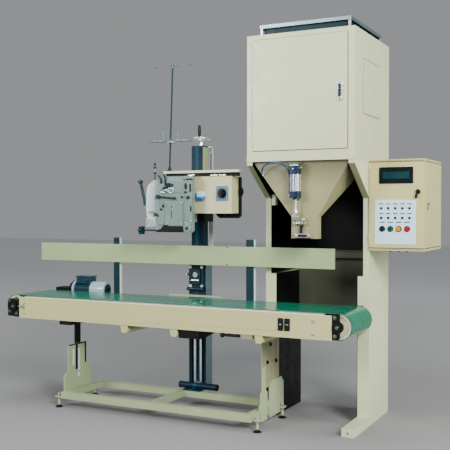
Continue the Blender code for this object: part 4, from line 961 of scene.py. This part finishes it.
def add_column():
    """Rail, cap, bracket, shelf and base bar of the sewing column."""
    # Pale slotted rail behind the mast, held by the cap and by a lug on the column
    rail = Kit().box((-0.126, -0.09), (0.177, 0.189), (1.15, 2.002))
    rail.box((-0.215, -0.09), (0.142, 0.189), (1.996, 2.0055))
    rail.box((-0.13, -0.0935), (0.158, 0.189), (1.135, 1.16))
    rail.piece("mast_rail", "line", "white_film", 0.0012, look="pale_strip")
    # The slot is a black strip and round end on the rail face: painted shade in place of an open slot
    slot = Kit().box((-0.112, -0.104), (0.1762, 0.1772), (1.815, 1.955))
    slot.rod("Y", (-0.108, 1.978), 0.006, (0.1772, 0.1745), 16)
    slot.piece("mast_rail_slot", "line", "black_plastic")
    edges = Kit().box((-0.0922, -0.088), (0.06, 0.16), (0.136, 1.158))
    edges.piece("column_edge_strip", "line", "steel", 0.0008, look="blue_steel")
    cap = Kit().slab("Z", (-0.2175, -0.1135), (0.059, 0.141), 0.004, (1.997, 2.0075))
    hole = Kit().rod("Z", (-0.151, 0.1), 0.0215, (1.9, 2.1))
    cap.piece("mast_cap", "line", "dark_teal_paint", 0.0012, cuts=hole)

    # Machinery on the front of the lower column: a guide bracket with bolts and a spindle nut
    gear = Kit().slab("Y", (-0.232, -0.104), (0.905, 1.085), 0.01, (0.044, 0.056))
    gear.slab("Y", (-0.205, -0.128), (0.935, 1.055), 0.012, (0.03, 0.046))
    gear.rod("X", (0.04, 0.9), 0.014, (-0.245, -0.1), 24)
    gear.box((-0.252, -0.236), (0.046, 0.066), (1.0, 1.018))
    gear.piece("column_bracket", "line", "dark_teal_paint", 0.003, 3)
    bright = Kit()
    for x in (-0.218, -0.118):
        for z in (0.922, 1.068):
            bright.bolt((x, 0.044, z), "-Y", 0.0065)
    bright.rod("X", (0.03, 0.968), 0.008, (-0.2, -0.134), 20)
    bright.turned("Y", (-0.166, 1.01), [(0.031, 0.022), (0.022, 0.02), (0.022, 0.01)], 28)
    bright.rod("X", (0.056, 1.009), 0.007, (-0.262, -0.236), 16)
    bright.piece("column_bracket_bolts", "line", "chrome", 0.0006)
    shelf = Kit().box((-0.395, 0.068), (0.0145, 0.0545), (0.84, 0.855))
    shelf.piece("column_shelf", "line", "frame_paint", 0.0016, look="shelf_green")
    bar = Kit().turned("X", (0.04, 0.149), [(0.0096, 0.0255), (0.02, 0.0255), (0.024, 0.02)], 32)
    bar.turned("X", (0.04, 0.149), [(-0.312, 0.02), (-0.308, 0.0255), (-0.2996, 0.0255)], 32)
    bar.piece("base_bar_ends", "line", "black_paint", 0.0012)
    recess = Kit()
    for x in (-0.189, -0.137):
        recess.turned("Z", (x, 0.066), [(0.168, 0.004), (0.25, 0.0125), (0.26, 0.0125)], 20)
    recess.piece("guide_rod_tips", "line", "chrome")


def add_handwheel():
    """Lifting handwheel on its screw, with the crank grip."""
    centre, z = (-0.151, 0.1), 2.064
    wheel = Kit().torus("Z", (*centre, z), 0.085, 0.0068)
    for step in range(3):
        angle = radians(80 + 120 * step)
        wheel.bar(
            (*centre, z), (centre[0] + 0.083 * cos(angle), centre[1] + 0.083 * sin(angle), z), 0.005, 20,
        )
    wheel.turned(
        "Z", centre, [(2.008, 0.019), (2.04, 0.019), (2.046, 0.016), (2.076, 0.015), (2.08, 0.012)], 40,
    )
    wheel.rod("Z", centre, 0.0098, (1.182, 2.01), 20)
    wheel.piece("handwheel_rim", "handwheel", "chrome", 0.0008, replaces=["lift_handwheel"])
    angle = radians(-72)
    at = (centre[0] + 0.085 * cos(angle), centre[1] + 0.085 * sin(angle))
    grip = [
        (2.064, 0.005), (2.074, 0.006), (2.078, 0.0095), (2.1, 0.0118), (2.14, 0.0114), (2.156, 0.0095),
        (2.161, 0.0055),
    ]
    Kit().turned("Z", at, grip, 28).piece("handwheel_grip", "handwheel", "black_plastic", 0.0004)


def add_thread_stand():
    """Pole with two spool plates, their pins and the thread eyes."""
    foot, tip = Vector((-0.272, -0.18, 1.8004)), Vector((-0.244, -0.18, 2.6))
    lean = (tip - foot) / (tip.z - foot.z)
    mid = foot + lean * (2.025 - foot.z)
    rod = Kit().bar(foot + Vector((0, 0, 0.004)), tip, 0.0062, 20)
    base = [(foot.z, 0.022), (foot.z + 0.008, 0.022), (foot.z + 0.012, 0.012), (foot.z + 0.03, 0.0115)]
    rod.turned("Z", (foot.x, foot.y), base, 28)
    rod.piece(
        "thread_pole", "sewing_carriage", "steel", 0.0004, replaces=["thread_stand"],
        look="dark_teal_paint",
    )
    collars = Kit().turned(
        "Z", (tip.x - 0.0004, tip.y), [(2.574, 0.0095), (2.59, 0.0095), (2.596, 0.008), (2.602, 0.004)], 24,
    )
    collars.rod("Z", (mid.x, mid.y), 0.0125, (2.01, 2.042), 24)
    collars.piece("thread_pole_collars", "sewing_carriage", "steel", 0.0006, look="dark_steel")
    plates, pins = Kit(), Kit()
    plates.box((mid.x - 0.1, mid.x + 0.1), (-0.189, -0.171), (2.0205, 2.0245))
    for side in (-1, 1):
        x = mid.x + side * 0.104
        plates.turned(
            "Z", (x, foot.y), [(2.0245, 0.0775), (2.0285, 0.078), (2.0285, 0.0755), (2.0268, 0.0735)], 56,
        )
        pin = [(2.026, 0.008), (2.034, 0.006), (2.05, 0.0042), (2.136, 0.003), (2.14, 0.0015)]
        pins.turned("Z", (mid.x + side * 0.065, foot.y), pin, 16)
        eye = tip + Vector((side * 0.155, 0, -0.012))
        pins.bar(tip + Vector((0, 0, -0.012)), eye, 0.0021, 10)
        pins.torus("Y", tuple(eye), 0.0046, 0.0014, 20, 8)
    plates.piece("spool_plates", "sewing_carriage", "steel", 0.0004, look="pale_steel")
    pins.piece("thread_guides", "sewing_carriage", "steel", look="dark_steel")


def add_switch_box():
    """Switch box of the sewing head, with its plate, breaker, clamps and glands."""
    x, front, z = (-0.046, 0.266), -0.2115, (1.486, 1.7545)
    shell = Kit().box(x, (front + 0.003, -0.1), z).box(
        (x[0] - 0.0012, x[1] + 0.0012), (front, front + 0.012), (z[0] - 0.0012, z[1] + 0.0008),
    )
    hollow = Kit().box((x[0] + 0.003, x[1] - 0.003), (front + 0.003, -0.09), (z[0] + 0.003, z[1] - 0.003))
    shell.piece(
        "switch_box", "sewing_carriage", "cabinet_paint", 0.002, 3, cuts=hollow, replaces=["sewing_box"],
        look="box_cream",
    )
    plate = Kit().slab("Y", (0.141, 0.239), (1.576, 1.684), 0.007, (front - 0.004, front + 0.0005))
    plate.piece("switch_plate", "sewing_carriage", "steel", 0.0014, look="slate_plate")
    ring = Kit().turned(
        "Y", (0.19, 1.63), stepped(front, (-0.0042, 0.036), (-0.0052, 0.0345), (-0.0052, 0.0245)), 44,
    )
    hole = Kit().rod("Y", (0.19, 1.63), 0.0225, (front - 0.05, front + 0.01))
    ring.piece("switch_plate_ring", "sewing_carriage", "black_plastic", cuts=hole)
    screws = Kit()
    for sx in (0.15, 0.23):
        for sz in (1.586, 1.674):
            screws.screw((sx, front - 0.004, sz), "-Y", 0.0035)
    for sx in (-0.036, 0.256):
        for sz in (1.497, 1.744):
            screws.screw((sx, front, sz), "-Y", 0.004)
    screws.piece("switch_box_screws", "sewing_carriage", "steel")
    lower = Kit().box((-0.01, 0.0485), (front - 0.026, front + 0.0005), (1.5825, 1.611))
    lower.piece("breaker_base", "sewing_carriage", "hose_blue", 0.0014, look="breaker_blue")
    upper = Kit().box((-0.01, 0.0485), (front - 0.026, front + 0.0005), (1.6115, 1.6455))
    upper.box((-0.006, 0.0445), (front - 0.028, front - 0.025), (1.619, 1.638))
    upper.piece("breaker_face", "sewing_carriage", "white_film", 0.0014)
    toggles = Kit()
    for step in range(3):
        tx = -0.003 + step * 0.018
        toggles.prism(
            "X", stepped(front, (-0.0255, 1.6), (-0.0279, 1.604), (-0.0279, 1.613), (-0.0255, 1.617)),
            (tx, tx + 0.0085),
        )
    toggles.piece("breaker_toggles", "sewing_carriage", "white_film", 0.0006)
    clamps = Kit()
    for low, high in ((0.094, 0.112), (0.118, 0.15), (0.16, 0.176), (0.186, 0.216)):
        clamps.box((low, high), (-0.211, -0.2052), (1.759, 1.77))
    clamps.rod("X", (-0.208, 1.763), 0.0026, (0.09, 0.222), 16)
    clamps.piece("cable_clamps", "sewing_carriage", "chrome", 0.0012)
    glands = Kit()
    for gx in (0.022, 0.19):
        glands.turned(
            "Z", (gx, -0.17), [(1.485, 0.011), (1.477, 0.011), (1.477, 0.008), (1.466, 0.007)], 20,
        )
    glands.piece("box_glands", "sewing_carriage", "black_plastic", 0.0006)
    rim = Kit()
    for sx in (0.13, 0.24):
        for sz in (1.48, 1.72):
            rim.bolt((sx, -0.07, sz), "Y", 0.006)
    rim.piece("motor_plate_bolts", "sewing_carriage", "steel", 0.0004)


def add_head():
    """Sewing head: casting, covers, tension parts, finial, lever and V-belt."""
    front, back = -0.3115, -0.2165
    raised, inset = (front - 0.0045, front + 0.002), (front - 0.0055, front - 0.003)
    slot = Kit().box((-0.45, 0.05), (-0.262, -0.25), (1.3, 1.405))
    slot.box((-0.062, 0.05), (-0.2435, -0.2), (1.3, 1.8))
    slot.rod("Y", (-0.37, 1.41), 0.0068, (-0.26, -0.15), 24)
    slot.rod("Y", (-0.37, 1.41), 0.0042, (-0.3, -0.25), 16)
    slot.rod("Y", (-0.341, 1.41), 0.0068, (-0.26, -0.15), 24)
    slot.rod("X", (-0.165, 1.56), 0.0096, (-0.15, -0.03), 24)
    main = [
        (-0.298, 1.348), (-0.045, 1.346), (-0.032, 1.36), (-0.032, 1.756), (-0.215, 1.756),
        (-0.262, 1.748), (-0.296, 1.73), (-0.312, 1.7), (-0.312, 1.38),
    ]
    front_end = [
        (-0.09, 1.347), (-0.012, 1.346), (0.003, 1.36), (0.003, 1.74), (-0.014, 1.7555), (-0.09, 1.7555),
    ]
    nose = [
        (-0.3, 1.43), (-0.372, 1.438), (-0.398, 1.47), (-0.404, 1.52), (-0.403, 1.62), (-0.396, 1.668),
        (-0.378, 1.702), (-0.35, 1.722), (-0.3, 1.738),
    ]
    body = Kit().prism("Y", main, (front, back)).prism("Y", nose, (front + 0.008, back + 0.01))
    body.prism("Y", front_end, (front, front + 0.026))
    body.box((-0.4, -0.305), (-0.308, -0.266), (1.386, 1.452))
    body.box((-0.392, -0.29), (-0.226, -0.165), (1.392, 1.462))
    body.box((-0.302, -0.072), (back - 0.01, -0.115), (1.42, 1.74))
    body.rod("Z", (FINIAL_X, FINIAL_Y), 0.0135, (1.69, 1.734), 28)
    body.piece(
        "head_body", "sewing_carriage", "casting_paint", 0.008, 4, cuts=slot, replaces=["head_casting"],
        smooth=50,
    )

    # Raised panel on the right, split line, round boss, and bulged gear cover on the nose
    panel = Kit().slab("Y", (-0.066, -0.002), (1.402, 1.742), 0.01, raised)
    panel.turned("Y", (-0.043, 1.378), stepped(front, (0.002, 0.034), (-0.009, 0.033), (-0.012, 0.029)), 40)
    panel.prism("Y", [(-0.076, 1.735), (-0.074, 1.75), (-0.01, 1.752), (-0.004, 1.735)], raised)
    panel.piece("head_right_panel", "sewing_carriage", "casting_paint", 0.0022, 3)
    bulge = Kit().prism(
        "Y", rounded((-0.392, -0.318), (1.48, 1.7), 0.034, 8), (front + 0.001, front + 0.01),
    )
    bulge.prism("Y", rounded((-0.3, -0.238), (1.4, 1.5), 0.02, 6), (front - 0.0055, front + 0.002))
    bulge.prism("Y", rounded((-0.296, -0.085), (1.636, 1.735), 0.022, 6), (front - 0.004, front + 0.002))
    bulge.piece("head_front_bosses", "sewing_carriage", "casting_paint", 0.0035, 4)

    # Dark openings and slots, drawn as black slabs: painted shade in place of the recesses
    dark = Kit()
    oval = [(-0.0555 + 0.0115 * cos(t * pi / 12), 1.682 + 0.026 * sin(t * pi / 12)) for t in range(24)]
    dark.prism("Y", oval, inset)
    for x, z in (
        ((-0.07, -0.044), (1.632, 1.646)), ((-0.026, -0.01), (1.64, 1.702)),
        ((-0.0195, -0.0065), (1.498, 1.538)),
    ):
        dark.slab("Y", x, z, 0.005, inset)
    dark.rod("Y", (-0.043, 1.376), 0.012, (front - 0.0132, front - 0.01), 24)
    dark.slab("Y", (-0.074, 0.0), (1.726, 1.736), 0.003, (front - 0.0055, front - 0.001))
    dark.slab("Y", (-0.374, -0.328), (1.491, 1.498), 0.003, (front - 0.0012, front + 0.006))
    dark.slab("Y", (-0.1765, -0.1705), (1.45, 1.508), 0.0025, (front - 0.009, front - 0.008))
    dark.rod("Y", (-0.173, 1.532), 0.006, (front - 0.0092, front - 0.008), 16)
    dark.piece("head_dark_openings", "sewing_carriage", "black_plastic", 0.0005)

    # Black base with its sloping toe
    base = [
        (-0.306, 1.3465), (-0.08, 1.3465), (-0.08, 1.39), (-0.196, 1.39), (-0.208, 1.401), (-0.24, 1.401),
        (-0.262, 1.372), (-0.306, 1.36),
    ]
    plinth = Kit().prism("Y", base, (front - 0.012, front + 0.002))
    plinth.box((-0.19, -0.092), (front - 0.016, front - 0.01), (1.352, 1.384))
    plinth.piece("head_black_base", "sewing_carriage", "black_paint", 0.0028, 3)

    # Thread tension group: spindle, discs, springs, wire loops and hooked guides
    tension = Kit()
    tension.turned(
        "Y", (-0.212, 1.684),
        stepped(front, (-0.004, 0.02), (-0.012, 0.02), (-0.014, 0.012), (-0.024, 0.012)), 32,
    )
    tension.bar((-0.245, front - 0.014, 1.668), (-0.168, front - 0.014, 1.694), 0.0075, 20)
    tension.bar((-0.23, front - 0.01, 1.7), (-0.186, front - 0.012, 1.704), 0.0055, 20)
    tension.rod("Y", (-0.172, 1.694), 0.01, (front - 0.003, front - 0.02), 24)
    hooks = (
        [
            (-0.26, 1.706, 0.01), (-0.259, 1.725, 0.014), (-0.264, 1.742, 0.014), (-0.276, 1.758, 0.012),
            (-0.288, 1.764, 0.01),
        ],
        [
            (-0.226, 1.706, 0.01), (-0.224, 1.728, 0.014), (-0.226, 1.748, 0.014), (-0.233, 1.764, 0.012),
            (-0.24, 1.77, 0.01),
        ],
    )
    for hook in hooks:
        tension.tube([(x, front - out, z) for x, z, out in hook], 0.0062, 14)
    tension.piece("tension_block", "sewing_carriage", "dark_teal_paint", 0.001)
    loops = Kit()
    for cx, cz, rx, rz in ((-0.24, 1.655, 0.026, 0.017), (-0.182, 1.655, 0.028, 0.017)):
        ring_points = [
            (cx + rx * cos(t * pi / 14), front - 0.01, cz + rz * sin(t * pi / 14)) for t in range(29)
        ]
        loops.tube(ring_points, 0.0022, 10)
    for cx, cz in ((-0.228, 1.652), (-0.2, 1.65)):
        coil = [
            (
                cx + 0.0075 * cos(t * 0.6), front - 0.006 - t * 0.00022, cz + 0.0075 * sin(t * 0.6),
            ) for t in range(60)
        ]
        loops.tube(coil, 0.0013, 8)
    loops.piece("tension_wire_loops", "sewing_carriage", "chrome")

    screws = Kit()
    for x, z, size in (
        (-0.2466, 1.5395, 0.0125), (-0.266, 1.515, 0.01), (-0.3072, 1.4766, 0.012), (-0.3, 1.44, 0.008),
    ):
        screws.screw((x, front, z), "-Y", size)
    screws.turned(
        "Y", (-0.0347, 1.6007), stepped(front, (-0.004, 0.0125), (-0.016, 0.0115), (-0.018, 0.008)), 28,
    )
    screws.turned("Y", (-0.088, 1.604), stepped(front, (0.001, 0.009), (-0.01, 0.008)), 20)
    screws.prism(
        "Y", [(-0.33, 1.486), (-0.286, 1.478), (-0.284, 1.458), (-0.304, 1.462), (-0.328, 1.47)],
        (front - 0.008, front + 0.001),
    )
    screws.piece("head_dark_screws", "sewing_carriage", "dark_teal_paint", 0.0008)
    bright = Kit()
    for x, z in ((-0.222, 1.406), (-0.092, 1.563), (-0.222, 1.563), (-0.092, 1.406)):
        bright.screw((x, front - 0.0084, z), "-Y", 0.0045)
    bright.piece("cover_screws", "cover", "chrome")
    small = Kit()
    for x, z in (
        (-0.058, 1.414), (-0.01, 1.43), (-0.058, 1.73), (-0.384, 1.5), (-0.384, 1.68), (-0.326, 1.5),
    ):
        small.screw((x, front - 0.004 if x > -0.1 else front + 0.0012, z), "-Y", 0.0045)
    small.bar((-0.036, front - 0.005, 1.428), (-0.008, front - 0.005, 1.462), 0.0022, 10)
    small.turned(
        "X", (-0.262, 1.76), [(-0.072, 0.009), (-0.068, 0.011), (-0.012, 0.011), (-0.008, 0.009)], 28,
    )
    small.piece("head_bright_screws", "sewing_carriage", "chrome", 0.0004)
    brass = Kit().screw((-0.0556, front - 0.0045, 1.5462), "-Y", 0.006)
    brass.piece("head_brass_plug", "sewing_carriage", "steel", look="brass")

    # Throat plate and presser guard, bright metal
    plate = Kit().slab("Y", (-0.396, -0.316), (1.392, 1.449), 0.008, (-0.3105, -0.3075))
    plate.box((-0.396, -0.33), (-0.308, -0.2665), (1.45, 1.453))
    plate.piece("throat_plate", "sewing_carriage", "chrome", 0.001)

    # Finial: post, two discs, a light spring and a ball
    post = Kit().rod("Z", (FINIAL_X, FINIAL_Y), 0.0042, (1.73, 1.858), 20)
    for z in (1.786, 1.826):
        post.turned("Z", (FINIAL_X, FINIAL_Y), stepped(z, (-0.003, 0.014), (0, 0.015), (0.003, 0.014)), 32)
    post.turned(
        "Z", (FINIAL_X, FINIAL_Y), [(1.848, 0.005), (1.852, 0.0085), (1.858, 0.009), (1.863, 0.005)], 24,
    )
    post.piece("finial_post", "sewing_carriage", "dark_teal_paint", 0.0004)
    coil = Kit()
    turns = [
        (
            FINIAL_X + 0.009 * cos(t * 0.55), FINIAL_Y + 0.009 * sin(t * 0.55), 1.79 + t * 0.0005,
        ) for t in range(66)
    ]
    coil.tube(turns, 0.0016, 8)
    coil.piece("finial_spring", "sewing_carriage", "chrome")

    # Long presser lever with round ends
    spine = [(-0.418, 1.556), (-0.4265, 1.59), (-0.44, 1.64), (-0.452, 1.685), (-0.461, 1.722)]
    lever = Kit()
    rows = []
    for index, (x, z) in enumerate(spine):
        half = 0.012 - 0.0008 * index
        rows.append(
            [(x - half, -0.2955, z), (x + half, -0.2955, z), (x + half, -0.2825, z), (x - half, -0.2825, z)]
        )
    lever.loft(rows)
    lever.rod("Y", (-0.418, 1.556), 0.014, (-0.299, -0.279), 32)
    lever.turned(
        "Y", (-0.461, 1.722), [(-0.304, 0.011), (-0.302, 0.0145), (-0.276, 0.0145), (-0.274, 0.011)], 32,
    )
    lever.piece(
        "lifter_arm", "lifter", "black_plastic", 0.0016, 3, replaces=["presser_lever"], look="teal_gloss",
    )

    belt_points = belt_run((-0.014, 1.52), 0.0275, (-0.165, 1.56), 0.0535)
    vbelt = Kit().tube([(-0.0585, y, z) for y, z in belt_points], 0.0034, 10)
    vbelt.piece("drive_vbelt", "sewing_carriage", "black_plastic")


def belt_run(small_at, small_r, large_at, large_r):
    """Closed path of a belt around two pulleys in the YZ plane."""
    dy, dz = large_at[0] - small_at[0], large_at[1] - small_at[1]
    span = hypot(dy, dz)
    heading = atan2(dz, dy)
    lean = atan2(large_r - small_r, span)
    points = []
    for at, radius, start, sweep in (
        (large_at, large_r, heading - pi / 2 - lean, pi + 2 * lean),
        (small_at, small_r, heading + pi / 2 + lean, pi - 2 * lean),
    ):
        for step in range(17):
            angle = start + sweep * step / 16
            points.append((at[0] + radius * cos(angle), at[1] + radius * sin(angle)))
    points.append(points[0])
    return points


SLOT_OF = {entry["node"]: entry["material_slot"] for entry in frame["record"]["subparts"]}
OWN_LOOK = {
    "back_panel": "back_shadow", "stand_left": "leg_left", "stand_right": "leg_right",
    "control_cabinet": "cream_paint", "control_door": "cream_paint", "column": "mast_blue",
    "upright_right": "channel_painted_shade",
}
PLAIN_BEVEL = 0.0015
BEVELS = {"head_casting": 0.0, "looper_cover": 0.003, "table_plate": 0.002, "carriage": 0.002}
for node_name in NODES:
    keep_node(node_name, BEVELS.get(node_name, PLAIN_BEVEL), OWN_LOOK.get(node_name, SLOT_OF[node_name]))
add_scale()
add_cylinder()
add_controls()
add_conveyor()
add_column()
add_handwheel()
add_thread_stand()
add_switch_box()
add_head()


# ---------------------------------------------------------------- stage, light and camera

def build_stage():
    bpy.ops.mesh.primitive_plane_add(size=60, location=(0, 0, 0))
    floor = bpy.context.object
    floor.name = "studio_floor"
    look = Look("studio_floor_paint")
    # Floor paint lightens with distance from the origin: painted light that evens out the lamps' falloff
    distance = look.node("ShaderNodeVectorMath", operation="LENGTH")
    look.link(look.coords, distance.inputs[0])
    far = look.remap(distance.outputs["Value"], 0.0, 1.0, 2.2, 9.0)
    look.colour(look.mix(far, (0.285, 0.285, 0.29), (0.8, 0.8, 0.81)))
    look.set(Roughness=0.75)
    floor.data.materials.append(look.material)

    world = bpy.data.worlds.new("studio_air")
    world.use_nodes = True
    world.node_tree.nodes["Background"].inputs["Color"].default_value = (0.78, 0.8, 0.82, 1.0)
    world.node_tree.nodes["Background"].inputs["Strength"].default_value = 0.38
    bpy.context.scene.world = world


def area_light(name, at, target, size, power, colour=(1, 1, 1)):
    data = bpy.data.lights.new(name, "AREA")
    data.shape = "RECTANGLE"
    data.size, data.size_y = size
    data.energy = power
    data.color = colour
    lamp = bpy.data.objects.new(name, data)
    lamp.location = at
    lamp.rotation_euler = (Vector(target) - Vector(at)).to_track_quat("-Z", "Y").to_euler()
    bpy.context.collection.objects.link(lamp)


def build_lights():
    area_light("key", (5.8, -5.0, 4.4), (0.3, 0, 1.3), (2.4, 2.0), 700, (1.0, 1.0, 0.97))
    area_light("left_soft", (-3.2, -6.2, 3.6), (-0.2, 0, 1.2), (2.4, 2.0), 300, (1.0, 1.0, 0.96))
    area_light("right_soft", (6.4, 0.6, 2.6), (1.2, 0.1, 1.4), (1.6, 2.4), 170, (0.98, 1.0, 0.99))
    area_light("top", (-0.6, -0.6, 5.4), (0.0, 0, 1.0), (3.4, 2.0), 130, (0.96, 0.98, 1.0))


def build_camera():
    data = bpy.data.cameras.new("camera")
    data.lens = 65.16
    data.sensor_width = 36.0
    camera = bpy.data.objects.new("camera", data)
    camera.location = (2.878, -5.4755, 1.5)
    tilt_down, turn = 0.96, 26.86
    camera.rotation_euler = (radians(90 - tilt_down), 0.0, radians(turn))
    bpy.context.collection.objects.link(camera)
    bpy.context.scene.camera = camera


build_stage()
build_lights()
build_camera()
